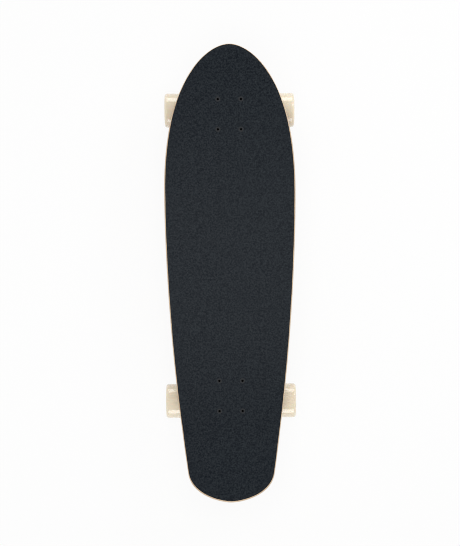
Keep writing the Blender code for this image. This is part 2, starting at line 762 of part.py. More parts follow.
def axle():
    """Steel rod pressed through the hanger, its length along X."""
    along_x = Matrix.Rotation(math.pi / 2, 4, "Y")
    return moved(rod(AXLE_DIAMETER / 2, AXLE_END_X, -AXLE_END_X, SMALL_SIDES, AXLE_EDGE), along_x)


def wheel():
    """Solid urethane wheel with a bearing seat from each side, its outer face upwards."""
    radius = WHEEL_DIAMETER / 2
    outer = WHEEL_SEAT_OFFSET + WHEEL_WIDTH / 2
    inner = WHEEL_SEAT_OFFSET - WHEEL_WIDTH / 2
    shoulder = SPACER_LENGTH / 2
    mouth = shoulder + CLEARANCE + BEARING_WIDTH + WHEEL_MOUTH_OVER
    seat = BEARING_DIAMETER / 2 + CLEARANCE
    face = WHEEL_FACE_DIAMETER / 2
    web = WHEEL_WEB_BORE / 2
    lip = WHEEL_LIP_RADIUS
    profile = [(face, outer)]
    for height, start in ((outer - lip, 90), (inner + lip, 0)):
        for turn in (0, 45, 90):
            angle = math.radians(start - turn)
            profile.append((radius - lip + lip * math.cos(angle), height + lip * math.sin(angle)))
    profile += [(face, inner), (seat, -mouth), (seat, -shoulder), (web, -shoulder)]
    profile += [(web, shoulder), (seat, shoulder), (seat, mouth)]
    return turned(profile, WHEEL_SIDES, closed=True)


def bearing():
    """A bearing's outer ring with the shield pressed into it, the shield upwards."""
    half = BEARING_WIDTH / 2
    outer = BEARING_DIAMETER / 2
    race = OUTER_RING_BORE / 2
    inner = INNER_RING_DIAMETER / 2
    shield_bore = inner + 2 * CLEARANCE
    profile = [(outer, half), (outer, -half), (race, -half), (race, half - SHIELD_THICKNESS)]
    profile += [(shield_bore, half - SHIELD_THICKNESS), (shield_bore, half)]
    return turned(profile, SMALL_SIDES, closed=True)


def axle_stack():
    """What is clamped on each end of the axle: speed washers, inner rings and their spacer."""
    hole = AXLE_DIAMETER / 2 + CLEARANCE
    washer = SPEED_WASHER_DIAMETER / 2
    inner = INNER_RING_DIAMETER / 2
    spacer = SPACER_DIAMETER / 2
    half = WHEEL_X - INNER_WASHER_X
    under_washer = half - SPEED_WASHER_THICKNESS
    profile = [(hole, half), (washer, half), (washer, under_washer), (inner, under_washer)]
    profile += [(inner, SPACER_LENGTH / 2), (spacer, SPACER_LENGTH / 2)]
    profile += [(radius, -height) for radius, height in reversed(profile)]
    return turned(profile, SMALL_SIDES, closed=True)


MAPLE = finish("maple", (0.72, 0.53, 0.34), 0.45)
GRIP = finish("grip", (0.025, 0.029, 0.034), 0.95)
BLACK_STEEL = finish("black_steel", (0.02, 0.02, 0.02), 0.4, 0.9)
STEEL = finish("steel", (0.55, 0.55, 0.55), 0.3, 1.0)
CAST = finish("cast_aluminium", (0.62, 0.62, 0.61), 0.42, 1.0)
PAD = finish("riser", (0.03, 0.03, 0.03), 0.7)
BUSHING = finish("bushing_urethane", (0.75, 0.66, 0.50), 0.4)
CUP = finish("pivot_cup_urethane", (0.05, 0.05, 0.05), 0.6)
URETHANE = finish("wheel_urethane", (0.80, 0.70, 0.53), 0.3)

# The board itself, each truck's holes cut where it stands
head_height = GRIP_TOP_Z - MOUNT_Z
deck_mesh = board_sheet(DECK_EDGE_LEAN, 0, DECK_THICKNESS, DECK_EDGE_RADIUS)
grip_mesh = board_sheet(DECK_EDGE_LEAN + GRIP_INSET, GRIP_LIFT, GRIP_THICKNESS)
for truck_y in (FRONT_Y, REAR_Y):
    to_truck = Matrix.Translation((0, -truck_y, -MOUNT_Z))
    deck_mesh = moved(bolt_holes(moved(deck_mesh, to_truck), head_height), to_truck.inverted())
    grip_mesh = moved(bolt_holes(moved(grip_mesh, to_truck), head_height), to_truck.inverted())
piece("deck", deck_mesh, MAPLE)
piece("grip_tape", grip_mesh, GRIP)

# Each truck's pieces share their meshes; the rear truck is the front one turned round
shared = {
    "riser_pad": riser_pad(),
    "deck_bolt": deck_bolt(head_height),
    "deck_nut": nut(DECK_NUT_WIDTH, DECK_NUT_HEIGHT, BOLT_DIAMETER, BOLT_SIDES),
    "baseplate": baseplate(),
    "pivot_cup": moved(pivot_cup(), PIVOT_TURN),
    "kingpin": kingpin(),
    "kingpin_nut": nut(KINGPIN_NUT_WIDTH, KINGPIN_NUT_HEIGHT, KINGPIN_DIAMETER, SMALL_SIDES),
    "board_side_washer": cup_washer(BUSHING_DIAMETER),
    "road_side_washer": cup_washer(BUSHING_TIP_DIAMETER),
    "board_side_bushing": bushing(BOARD_BUSHING_HEIGHT, BUSHING_DIAMETER),
    "road_side_bushing": bushing(ROAD_BUSHING_HEIGHT, BUSHING_TIP_DIAMETER),
    "hanger": hanger(),
    "axle": axle(),
    "axle_nut": nut(AXLE_NUT_WIDTH, AXLE_NUT_HEIGHT, AXLE_DIAMETER, SMALL_SIDES),
    "wheel": wheel(),
    "bearing": bearing(),
    "axle_stack": axle_stack(),
}

for end, truck_y, turn in (("front", FRONT_Y, 0), ("rear", REAR_Y, math.pi)):
    truck = empty(end + "_truck", location=(0, truck_y, MOUNT_Z), rotation=(0, 0, turn))
    kingpin_seat = empty(end + "_kingpin_seat", truck, SEAT, (-KINGPIN_TILT, 0, 0))
    steer = empty(end + "_steer", truck, RING_CENTRE)
    axle_middle = AXLE_CENTRE - RING_CENTRE

    piece(end + "_riser_pad", shared["riser_pad"], PAD, truck)
    piece(end + "_baseplate", shared["baseplate"], CAST, truck)
    piece(end + "_pivot_cup", shared["pivot_cup"], CUP, truck, BALL_CENTRE)
    nut_height = -PLATE_THICKNESS - CLEARANCE
    for number, (place, nut_place) in enumerate(zip(bolt_places(), bolt_places(nut_height)), 1):
        piece(f"{end}_deck_bolt_{number}", shared["deck_bolt"], BLACK_STEEL, truck, place)
        piece(f"{end}_deck_nut_{number}", shared["deck_nut"], STEEL, truck, nut_place)

    stack = (
        ("kingpin", BLACK_STEEL, 0),
        ("board_side_washer", STEEL, BOARD_WASHER_S),
        ("board_side_bushing", BUSHING, BOARD_BUSHING_S),
        ("road_side_bushing", BUSHING, ROAD_BUSHING_S),
        ("kingpin_nut", STEEL, KINGPIN_NUT_S),
    )
    for name, material, down in stack:
        piece(f"{end}_{name}", shared[name], material, kingpin_seat, (0, 0, -down))
    place = (0, 0, -ROAD_WASHER_S - CUP_WASHER_THICKNESS)
    over = (math.pi, 0, 0)
    piece(f"{end}_road_side_washer", shared["road_side_washer"], STEEL, kingpin_seat, place, over)

    piece(end + "_hanger", shared["hanger"], CAST, steer)
    piece(end + "_axle", shared["axle"], STEEL, steer, axle_middle)
    for side in (-1, 1):
        hand = "right" if (side > 0) == (end == "front") else "left"
        corner = f"{end}_{hand}"
        hub_place = axle_middle + Vector((side * WHEEL_X, 0, 0))
        out = (0, side * math.pi / 2, 0)
        piece(corner + "_axle_stack", shared["axle_stack"], STEEL, steer, hub_place, out)
        nut_place = axle_middle + Vector((side * (AXLE_NUT_X + AXLE_NUT_HEIGHT), 0, 0))
        piece(corner + "_axle_nut", shared["axle_nut"], STEEL, steer, nut_place, out)

        hub = empty(corner + "_hub", steer, hub_place, out)
        piece(corner + "_wheel", shared["wheel"], URETHANE, hub)
        piece(corner + "_outer_bearing", shared["bearing"], STEEL, hub, (0, 0, BEARING_MIDDLE))
        piece(corner + "_inner_bearing", shared["bearing"], STEEL, hub, (0, 0, -BEARING_MIDDLE), over)
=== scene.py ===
"""The looks of the cruiser skateboard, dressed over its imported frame.

Metres, +Z up, +Y towards the nose. After the studio, the sections follow the board as it is
put together: deck, grip, trucks from the baseplate down to the axle, bearings and wheels.
"""

import json
import math

import bmesh
import bpy
import numpy as np
from mathutils import Matrix, Vector
from mathutils.geometry import interpolate_bezier


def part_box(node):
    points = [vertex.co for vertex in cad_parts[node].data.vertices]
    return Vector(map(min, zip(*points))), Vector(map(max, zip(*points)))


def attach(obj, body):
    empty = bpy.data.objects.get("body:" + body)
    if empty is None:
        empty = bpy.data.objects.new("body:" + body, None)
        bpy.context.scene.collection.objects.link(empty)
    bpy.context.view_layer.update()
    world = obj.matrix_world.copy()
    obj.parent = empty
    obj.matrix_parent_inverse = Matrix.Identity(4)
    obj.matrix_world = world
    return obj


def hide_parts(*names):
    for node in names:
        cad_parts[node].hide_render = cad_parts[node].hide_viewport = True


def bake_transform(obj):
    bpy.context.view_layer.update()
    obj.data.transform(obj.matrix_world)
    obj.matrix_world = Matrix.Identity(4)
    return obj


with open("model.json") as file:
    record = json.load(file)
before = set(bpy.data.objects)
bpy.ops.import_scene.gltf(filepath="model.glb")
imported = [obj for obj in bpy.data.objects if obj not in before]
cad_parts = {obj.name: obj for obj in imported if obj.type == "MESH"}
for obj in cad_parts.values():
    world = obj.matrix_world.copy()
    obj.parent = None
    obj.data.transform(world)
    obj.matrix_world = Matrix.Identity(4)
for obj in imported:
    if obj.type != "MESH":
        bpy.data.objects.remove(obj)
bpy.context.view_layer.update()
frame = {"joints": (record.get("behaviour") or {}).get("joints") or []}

# The studio. The board stands on a pale floor and is seen from straight above, as a long lens
# sees it. Two tall soft boxes stand low beyond the nose and the tail, so that round things shine
# along their ends, a small one lights the nose's right side, and one overhead lights the grip.

DECK_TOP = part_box("grip_tape")[0].z
CAMERA_DISTANCE = 3.2
PICTURE_LENGTH = 0.9744
CAMERA_TO_LEFT = 0.0006
CAMERA_TOWARDS_TAIL = 0.0020
CAMERA_ROLL = math.radians(-0.33)
FILM = 36
PIXEL_BLUR = 1.0
WHITE = (1.0, 1.0, 1.0, 1.0)
WALL_TOP = 0.44
CEILING_START = 0.54
WALL_GLOW = 0.95
CEILING_GLOW = 0.50
BOX_DISTANCE = 2.9
BOX_HEIGHT = 0.78
BOX_SIZE = (1.0, 1.4)
BOX_POWER = 15
SIDE_LIGHT = ((1.1, 1.1, 1.1), (0.5, 0.5), 6)
OVERHEAD_LIGHT = ((-0.05, -0.02, 1.2), (0.7, 0.7), 5)
LIT_MIDDLE = (0, 0, 0.06)
PAPER = (0.86, 0.86, 0.86, 1)
PAPER_ROUGHNESS = 0.9
PAPER_GLOW = 0.90
PAPER_REACH = 12


def put(name, data):
    """A new object in the scene."""
    made = bpy.data.objects.new(name, data)
    bpy.context.scene.collection.objects.link(made)
    return made


def meshed(name, shape):
    """The mesh of a shape, which is used up."""
    mesh = bpy.data.meshes.new(name)
    shape.to_mesh(mesh)
    shape.free()
    return mesh


def add(tree, kind, sockets=None, output=0, **settings):
    """A node, its inputs set to values or joined to other nodes' outputs; gives one output."""
    made = tree.nodes.new(kind)
    for name, value in settings.items():
        setattr(made, name, value)
    for name, value in (sockets or {}).items():
        if isinstance(value, bpy.types.NodeSocket):
            tree.links.new(value, made.inputs[name])
        else:
            made.inputs[name].default_value = value
    return made.outputs[output]


def mixed(tree, factor, first, second):
    """A colour between two others."""
    return add(tree, "ShaderNodeMix", {0: factor, 6: first, 7: second}, 2, data_type="RGBA")


def soft_box(name, place, size, power):
    """A rectangular lamp that faces the board's middle."""
    lamp = bpy.data.lights.new(name, "AREA")
    lamp.shape = "RECTANGLE"
    lamp.size, lamp.size_y = size
    lamp.energy = power
    made = put(name, lamp)
    made.location = place
    away = Vector(place) - Vector(LIT_MIDDLE)
    made.rotation_euler = away.to_track_quat("Z", "Y").to_euler()
    return made


lens = bpy.data.cameras.new("camera")
lens.sensor_fit = "VERTICAL"
lens.sensor_width = FILM
lens.sensor_height = FILM
lens.lens = FILM * CAMERA_DISTANCE / PICTURE_LENGTH
camera = put("camera", lens)
camera.location = (-CAMERA_TO_LEFT, -CAMERA_TOWARDS_TAIL, DECK_TOP + CAMERA_DISTANCE)
camera.rotation_euler = (0, 0, CAMERA_ROLL)
bpy.context.scene.camera = camera
bpy.context.scene.view_settings.view_transform = "Standard"
bpy.context.scene.cycles.filter_width = PIXEL_BLUR

room = bpy.data.worlds.new("room")
room.use_nodes = True
sky = room.node_tree
direction = add(sky, "ShaderNodeTexCoord", output="Generated")
upness = add(sky, "ShaderNodeSeparateXYZ", {0: direction}, "Z")
sockets = {0: upness, 1: WALL_TOP, 2: CEILING_START, 3: WALL_GLOW, 4: CEILING_GLOW}
shade = add(sky, "ShaderNodeMapRange", sockets)
sky.nodes["Background"].inputs["Color"].default_value = WHITE
sky.links.new(shade, sky.nodes["Background"].inputs["Strength"])
bpy.context.scene.world = room

soft_box("nose_light", (0, BOX_DISTANCE, BOX_HEIGHT), BOX_SIZE, BOX_POWER)
soft_box("tail_light", (0, -BOX_DISTANCE, BOX_HEIGHT), BOX_SIZE, BOX_POWER)
soft_box("side_light", *SIDE_LIGHT)
overhead = soft_box("overhead_light", *OVERHEAD_LIGHT)
overhead.visible_glossy = False

paper = bpy.data.materials.new("studio_paper")
paper.use_nodes = True
shading = paper.node_tree
matte = shading.nodes["Principled BSDF"]
matte.inputs["Base Color"].default_value = PAPER
matte.inputs["Roughness"].default_value = PAPER_ROUGHNESS
by_camera = add(shading, "ShaderNodeLightPath", output="Is Camera Ray")
by_gloss = add(shading, "ShaderNodeLightPath", output="Is Glossy Ray")
seen = add(shading, "ShaderNodeMath", {0: by_camera, 1: by_gloss}, operation="MAXIMUM")
glow = add(shading, "ShaderNodeEmission", {"Color": WHITE, "Strength": 1.0})
mostly = add(shading, "ShaderNodeMath", {0: seen, 1: PAPER_GLOW}, operation="MULTIPLY")
lit_paper = add(shading, "ShaderNodeMixShader", {0: mostly, 1: matte.outputs[0], 2: glow})
shading.links.new(lit_paper, shading.nodes["Material Output"].inputs["Surface"])

floor_shape = bmesh.new()
bmesh.ops.create_grid(floor_shape, x_segments=1, y_segments=1, size=PAPER_REACH)
floor = put("floor", meshed("floor", floor_shape))
floor.data.materials.append(paper)

# The deck. Seven sheets of maple veneer are glued in a press that bends up the nose, the tail
# and both flanks, then sawn to outline, rounded over along the edge, sanded and lacquered.
# It is drawn as a flat blank of rings inside the outline, and the press is a node tree.

DECK_LENGTH = 0.815
DECK_WIDTH = 0.235
WIDEST_FORWARD = 0.146
TAIL_CORNER_WIDTH = 0.1545
TAIL_CORNER_BACK = 0.357
TAIL_CORNER_ANGLE = math.radians(8.9)
NOSE_TIP_SPREAD = 0.034
NOSE_SHOULDER = 0.211
WAIST_PULL = 0.026
FLANK_PULL = 0.2555
TAIL_CORNER_PULL = 0.041
TAIL_TIP_SPREAD = 0.016
DECK_THICKNESS = 0.011
EDGE_ROUNDING = 0.0025
EDGE_LEAN = 0.0007
PLIES = 7
CURVE_STEPS = 200
OUTLINE_STEPS = 200
DECK_RINGS = 14
SPINE_SHORT = 0.080
BOLT_HOLE = 0.0054
BOLT_HEAD_HOLE = 0.0100
BOLT_HEAD_ANGLE = math.radians(41)
CUTTER_REACH = 0.05
SAME_PLACE = 1e-6
NO_LENGTH = 1e-7
MAPLE_TONES = ((0.56, 0.36, 0.19, 1), (0.79, 0.60, 0.39, 1))
MAPLE_PORE = (0.25, (0.45, 0.28, 0.14, 1))
MAPLE_CROSS_PLY = (0.55, (0.40, 0.235, 0.115, 1))
MAPLE_GLUE = (0.45, (0.22, 0.12, 0.055, 1))
STREAKS = {"scale": 38.0, "detail": 6.0, "stretch": (1, 0.045, 1)}
STREAK_SPAN = (0.3, 0.7)
PORES = {"scale": 900.0, "detail": 3.0, "stretch": (1, 0.03, 1)}
PORE_BUMP = {"distance": 0.0002, "strength": 0.35}
GLUE_START = 0.455
LACQUERED = {"Roughness": 0.42, "Coat Weight": 0.35, "Coat Roughness": 0.22}
SMOOTH_ANGLE = math.radians(40)
PRESS_SIZES = {
    "Middle height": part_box("deck")[0].z + DECK_THICKNESS / 2,
    "Half length": DECK_LENGTH / 2,
    "Half width": DECK_WIDTH / 2,
    "Half flat": 0.032,
    "Concave": 0.0085,
    "Nose length": 0.081,
    "Nose radius": 0.200,
    "Nose angle": math.radians(10),
    "Tail length": 0.138,
    "Tail radius": 0.120,
    "Tail angle": math.radians(18.5),
}


def fasteners(kind):
    """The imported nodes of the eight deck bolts, or of their nuts."""
    return [f"{end}_deck_{kind}_{number}" for end in ENDS for number in (1, 2, 3, 4)]


def middle(node):
    """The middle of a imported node's box."""
    low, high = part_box(node)
    return (low + high) / 2


def half_outline():
    """The deck's right edge from the nose's tip to the tail's, in even steps."""
    lean = Vector((math.sin(TAIL_CORNER_ANGLE), math.cos(TAIL_CORNER_ANGLE)))
    nose = Vector((0, DECK_LENGTH / 2))
    widest = Vector((DECK_WIDTH / 2, WIDEST_FORWARD))
    corner = Vector((TAIL_CORNER_WIDTH / 2, -TAIL_CORNER_BACK))
    tail = Vector((0, -DECK_LENGTH / 2))
    stretches = (
        (nose, nose + Vector((NOSE_TIP_SPREAD, 0)), widest + Vector((0, NOSE_SHOULDER)), widest),
        (widest, widest - Vector((0, WAIST_PULL)), corner + lean * FLANK_PULL, corner),
        (corner, corner - lean * TAIL_CORNER_PULL, tail + Vector((TAIL_TIP_SPREAD, 0)), tail),
    )
    points = []
    for stretch in stretches:
        points += interpolate_bezier(*stretch, CURVE_STEPS)[:-1]
    points = np.array([*points, tail])
    run = np.concatenate([[0], np.cumsum(np.linalg.norm(np.diff(points, axis=0), axis=1))])
    even = np.linspace(0, run[-1], OUTLINE_STEPS)
    return np.stack([np.interp(even, run, points[:, 0]), np.interp(even, run, points[:, 1])], axis=1)


def whole_outline():
    """The closed outline, clockwise from the nose's tip, and its inward direction at each point."""
    right = half_outline()
    left = right[-2:0:-1] * (-1, 1)
    loop = np.concatenate([right, left])
    along = np.roll(loop, -1, axis=0) - np.roll(loop, 1, axis=0)
    along /= np.linalg.norm(along, axis=1)[:, None]
    return loop, np.stack([along[:, 1], -along[:, 0]], axis=1)


def blank(name, rim):
    """A flat closed sheet; rim lists its edge's (inset, height) pairs from top to bottom."""
    loop, inward = whole_outline()
    spine = loop * (0, 1 - SPINE_SHORT / (DECK_LENGTH / 2))
    rows = []
    heights = []
    insides = [(rim[0], share) for share in np.linspace(1, 0, DECK_RINGS)[:-1]]
    edges = [(pair, 0) for pair in rim]
    undersides = [(rim[-1], share) for share in np.linspace(0, 1, DECK_RINGS)[1:]]
    for (inset, height), share in insides + edges + undersides:
        rows.append((loop + inward * np.reshape(inset, (-1, 1))) * (1 - share) + spine * share)
        heights += [height] * len(loop)
    count = len(loop)
    faces = []
    for row in range(len(rows) - 1):
        for step in range(count):
            after = (step + 1) % count
            faces.append((row * count + step, row * count + after,
                          (row + 1) * count + after, (row + 1) * count + step))
    flat = np.concatenate(rows)
    mesh = bpy.data.meshes.new(name)
    mesh.from_pydata(np.column_stack([flat, heights]).tolist(), [], faces)
    shape = bmesh.new()
    shape.from_mesh(mesh)
    bmesh.ops.remove_doubles(shape, verts=shape.verts, dist=SAME_PLACE)
    bmesh.ops.dissolve_degenerate(shape, edges=shape.edges, dist=NO_LENGTH)
    bmesh.ops.recalc_face_normals(shape, faces=shape.faces)
    return meshed(name, shape)


def turned(rows, sides=48, closed=False):
    """Rows of (radius, height) turned about Z; a third number makes a row a hexagon that wide.

    How far round and how far along the rows each place is stays on it as a UV map.
    """
    shape = bmesh.new()
    chart = shape.loops.layers.uv.new("turning")
    rings = []
    for radius, height, *flats in rows:
        ring = []
        for step in range(sides):
            angle = math.tau * step / sides
            reach = radius
            if flats:
                from_flat = (angle + math.pi / 6) % (math.pi / 3) - math.pi / 6
                reach = min(radius, flats[0] / 2 / math.cos(from_flat))
            ring.append(shape.verts.new((reach * math.cos(angle), reach * math.sin(angle), height)))
        rings.append(ring)
    if closed:
        rings.append(rings[0])
        rows = [*rows, rows[0]]
    run = 0
    for place in range(len(rows) - 1):
        upper, lower = rings[place:place + 2]
        end_run = run + math.dist(rows[place][:2], rows[place + 1][:2])
        for step in range(sides):
            after = (step + 1) % sides
            face = shape.faces.new((upper[step], upper[after], lower[after], lower[step]))
            corners = ((step, run), (step + 1, run), (step + 1, end_run), (step, end_run))
            for corner, (turn, along) in zip(face.loops, corners):
                corner[chart].uv = (turn / sides, along)
        run = end_run
    bmesh.ops.remove_doubles(shape, verts=shape.verts, dist=SAME_PLACE)
    bmesh.ops.recalc_face_normals(shape, faces=shape.faces)
    return meshed("turned", shape)


def placed(mesh, matrix):
    """A copy of a mesh in another place."""
    copy = mesh.copy()
    copy.transform(matrix)
    return copy


def applied(made, *tools):
    """The mesh of an object after its modifiers; the object and its tools are removed."""
    graph = bpy.context.evaluated_depsgraph_get()
    mesh = bpy.data.meshes.new_from_object(made.evaluated_get(graph))
    for used in (made, *tools):
        bpy.data.objects.remove(used)
    return mesh


def carved(mesh, *cutters):
    """A closed mesh with others cut out of it."""
    made = put("stock", mesh)
    tools = [put("cutter", cutter) for cutter in cutters]
    for tool in tools:
        boolean = made.modifiers.new("cut", "BOOLEAN")
        boolean.solver = "MANIFOLD"
        boolean.object = tool
    return applied(made, *tools)


def bolt_cutters(head_height):
    """Eight sunk holes, for heads that end flush at this height."""
    cone = (BOLT_HEAD_HOLE - BOLT_HOLE) / 2 / math.tan(BOLT_HEAD_ANGLE)
    rows = [(0, CUTTER_REACH), (BOLT_HEAD_HOLE / 2, CUTTER_REACH), (BOLT_HEAD_HOLE / 2, head_height)]
    rows += [(BOLT_HOLE / 2, head_height - cone), (BOLT_HOLE / 2, -CUTTER_REACH), (0, -CUTTER_REACH)]
    hole = turned(rows)
    places = [middle(node) for node in fasteners("bolt")]
    return [placed(hole, Matrix.Translation((place.x, place.y, 0))) for place in places]


def formula(tree, operation, *values):
    """One step of arithmetic in a node tree."""
    return add(tree, "ShaderNodeMath", dict(enumerate(values)), operation=operation)


def bent_end(tree, given, end, outwards):
    """How high and how steep the nose or tail is, bent up over a radius, then straight."""
    start = formula(tree, "SUBTRACT", given["Half length"], given[f"{end} length"])
    into = formula(tree, "MAXIMUM", formula(tree, "SUBTRACT", outwards, start), 0.0)
    radius = given[f"{end} radius"]
    bend = formula(tree, "MULTIPLY", radius, formula(tree, "SINE", given[f"{end} angle"]))
    curved = formula(tree, "MINIMUM", into, bend)
    radius_squared = formula(tree, "MULTIPLY", radius, radius)
    curved_squared = formula(tree, "MULTIPLY", curved, curved)
    drop = formula(tree, "SQRT", formula(tree, "SUBTRACT", radius_squared, curved_squared))
    slope = formula(tree, "DIVIDE", curved, drop)
    straight = formula(tree, "SUBTRACT", into, curved)
    rise = formula(tree, "SUBTRACT", radius, drop)
    return formula(tree, "ADD", rise, formula(tree, "MULTIPLY", straight, slope)), slope


def tree_for(name, sizes):
    """A geometry node tree with a named input for each size, and its input sockets."""
    kinds = {float: "NodeSocketFloat", int: "NodeSocketInt", tuple: "NodeSocketVector"}
    tree = bpy.data.node_groups.new(name, "GeometryNodeTree")
    tree.interface.new_socket("Geometry", in_out="INPUT", socket_type="NodeSocketGeometry")
    for size, value in sizes.items():
        tree.interface.new_socket(size, in_out="INPUT", socket_type=kinds[type(value)])
    tree.interface.new_socket("Material", in_out="INPUT", socket_type="NodeSocketMaterial")
    tree.interface.new_socket("Geometry", in_out="OUTPUT", socket_type="NodeSocketGeometry")
    return tree, tree.nodes.new("NodeGroupInput").outputs


def close_tree(tree, given, geometry):
    """Ends a tree with real geometry in the material that it was given."""
    real = add(tree, "GeometryNodeRealizeInstances", {0: geometry})
    sockets = {"Geometry": real, "Material": given["Material"]}
    finished = add(tree, "GeometryNodeSetMaterial", sockets)
    tree.links.new(finished, tree.nodes.new("NodeGroupOutput").inputs[0])


def press_tree():
    """Lays a flat blank over the deck's pressed middle surface."""
    tree, given = tree_for("press", PRESS_SIZES)
    place = add(tree, "GeometryNodeInputPosition")
    parts = tree.nodes.new("ShaderNodeSeparateXYZ")
    tree.links.new(place, parts.inputs[0])
    across, along, height = parts.outputs
    nose_rise, nose_slope = bent_end(tree, given, "Nose", along)
    backwards = formula(tree, "MULTIPLY", along, -1.0)
    tail_rise, tail_slope = bent_end(tree, given, "Tail", backwards)
    slope_along = formula(tree, "SUBTRACT", nose_slope, tail_slope)

    width = formula(tree, "SUBTRACT", given["Half width"], given["Half flat"])
    past_flat = formula(tree, "SUBTRACT", formula(tree, "ABSOLUTE", across), given["Half flat"])
    share = formula(tree, "DIVIDE", formula(tree, "MAXIMUM", past_flat, 0.0), width)
    dish = formula(tree, "MULTIPLY", given["Concave"], share)
    side_rise = formula(tree, "MULTIPLY", dish, share)
    side_slope = formula(tree, "DIVIDE", formula(tree, "MULTIPLY", dish, 2.0), width)
    slope_across = formula(tree, "MULTIPLY", side_slope, formula(tree, "SIGN", across))

    ends = formula(tree, "ADD", nose_rise, tail_rise)
    rise = formula(tree, "ADD", formula(tree, "ADD", ends, side_rise), given["Middle height"])
    tilt_x = formula(tree, "MULTIPLY", slope_across, -1.0)
    tilt_y = formula(tree, "MULTIPLY", slope_along, -1.0)
    square = add(tree, "ShaderNodeCombineXYZ", {0: tilt_x, 1: tilt_y, 2: 1.0})
    upright = add(tree, "ShaderNodeVectorMath", {0: square}, operation="NORMALIZE")
    offset = add(tree, "ShaderNodeVectorMath", {0: upright, "Scale": height}, operation="SCALE")
    middle_place = add(tree, "ShaderNodeCombineXYZ", {0: across, 1: along, 2: rise})
    pressed = add(tree, "ShaderNodeVectorMath", {0: middle_place, 1: offset}, operation="ADD")

    depth = formula(tree, "ADD", formula(tree, "DIVIDE", height, DECK_THICKNESS), 0.5)
    sockets = {"Geometry": given["Geometry"], "Name": "ply_depth", "Value": depth}
    marked = add(tree, "GeometryNodeStoreNamedAttribute", sockets)
    shaped = add(tree, "GeometryNodeSetPosition", {"Geometry": marked, "Position": pressed})
    close_tree(tree, given, shaped)
    return tree


def grown(name, mesh, tree, sizes, material):
    """A mesh after a node tree has worked on it, with nothing left to evaluate."""
    made = put(name, mesh)
    nodes = made.modifiers.new("nodes", "NODES")
    nodes.node_group = tree
    values = {**sizes, "Material": material}
    for item in tree.interface.items_tree:
        if item.in_out == "INPUT" and item.name in values:
            nodes[item.identifier] = values[item.name]
    final = applied(made)
    final.name = name
    return final


def dressed(name, mesh, slot, replaced, material=None, smooth=SMOOTH_ANGLE):
    """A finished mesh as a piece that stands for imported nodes."""
    if material:
        mesh.materials.clear()
        mesh.materials.append(material)
    mesh.shade_smooth()
    mesh.set_sharp_from_angle(angle=smooth)
    made = put(name, mesh)
    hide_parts(*replaced)
    return made


def show(name, mesh, body, *finish):
    """Puts a finished mesh in the scene and lets it ride on a body."""
    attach(dressed(name, mesh, *finish), body)


def surface(name, settings):
    """A new material: itself, its tree, its shader's inputs and the object's coordinates."""
    made = bpy.data.materials.new(name)
    made.use_nodes = True
    tree = made.node_tree
    inputs = tree.nodes["Principled BSDF"].inputs
    for setting, value in settings.items():
        inputs[setting].default_value = value
    return made, tree, inputs, add(tree, "ShaderNodeTexCoord", output="Object")


def speckle(tree, place, scale, detail=4.0, stretch=(1, 1, 1)):
    """Soft noise in real size: scale is its blobs to the metre."""
    spread = add(tree, "ShaderNodeMapping", {"Vector": place, "Scale": stretch})
    return add(tree, "ShaderNodeTexNoise", {"Vector": spread, "Scale": scale, "Detail": detail})


def stretched(tree, pattern, low, high):
    """A pattern spread out, so that its low value becomes 0 and its high one 1."""
    return add(tree, "ShaderNodeMapRange", {0: pattern, 1: low, 2: high})


def tinted(tree, tone, pattern, share, tint):
    """A colour with a share of another laid over it by a pattern."""
    return mixed(tree, formula(tree, "MULTIPLY", pattern, share), tone, tint)


def roughen(tree, inputs, height, distance, strength):
    """Bumps a surface by a height pattern."""
    sockets = {"Strength": strength, "Distance": distance, "Height": height}
    tree.links.new(add(tree, "ShaderNodeBump", sockets), inputs["Normal"])


def maple():
    """Lacquered maple: long streaks, fine pores, and darker cross plies along the edge."""
    made, tree, inputs, place = surface("maple", LACQUERED)
    streaks = stretched(tree, speckle(tree, place, **STREAKS), *STREAK_SPAN)
    pores = speckle(tree, place, **PORES)
    tone = tinted(tree, mixed(tree, streaks, *MAPLE_TONES), pores, *MAPLE_PORE)
    depth = add(tree, "ShaderNodeAttribute", output="Fac", attribute_name="ply_depth")
    ply = formula(tree, "MULTIPLY", depth, float(PLIES))
    crossed = formula(tree, "GREATER_THAN", formula(tree, "MODULO", ply, 2.0), 1.0)
    tone = tinted(tree, tone, crossed, *MAPLE_CROSS_PLY)
    seam = formula(tree, "ABSOLUTE", formula(tree, "SUBTRACT", formula(tree, "FRACT", ply), 0.5))
    glue = formula(tree, "GREATER_THAN", seam, GLUE_START)
    tone = tinted(tree, tone, glue, *MAPLE_GLUE)
    tree.links.new(tone, inputs["Base Color"])
    roughen(tree, inputs, pores, **PORE_BUMP)
    return made


def both_ways(rows):
    """Rows of (distance, height) above the middle, with the same below it."""
    return rows + [(out, -height) for out, height in reversed(rows)]


def round_over(inset, half_height, radius, steps=6):
    """The (inset, height) pairs of an edge rounded over above and below."""
    top = []
    for step in range(steps + 1):
        angle = step / steps * math.pi / 2
        into = inset + radius * (1 - math.sin(angle))
        top.append((into, half_height - radius * (1 - math.cos(angle))))
    return both_ways(top)


ENDS = ("front", "rear")
PRESS = press_tree()
MAPLE = maple()
BOLT_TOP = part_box("front_deck_bolt_1")[1].z
holes = bolt_cutters(BOLT_TOP - PRESS_SIZES["Middle height"])
deck_rim = round_over(EDGE_LEAN, DECK_THICKNESS / 2, EDGE_ROUNDING)
deck = carved(blank("deck_blank", deck_rim), *holes)
deck = grown("deck_plies", deck, PRESS, PRESS_SIZES, MAPLE)
show("deck_plies", deck, "board", "maple", ["deck"])

# The grip. A sheet of film with black grit bonded to its top, stuck over the whole deck and cut
# round by hand with a blade close inside the edge, then trimmed at the bolts.

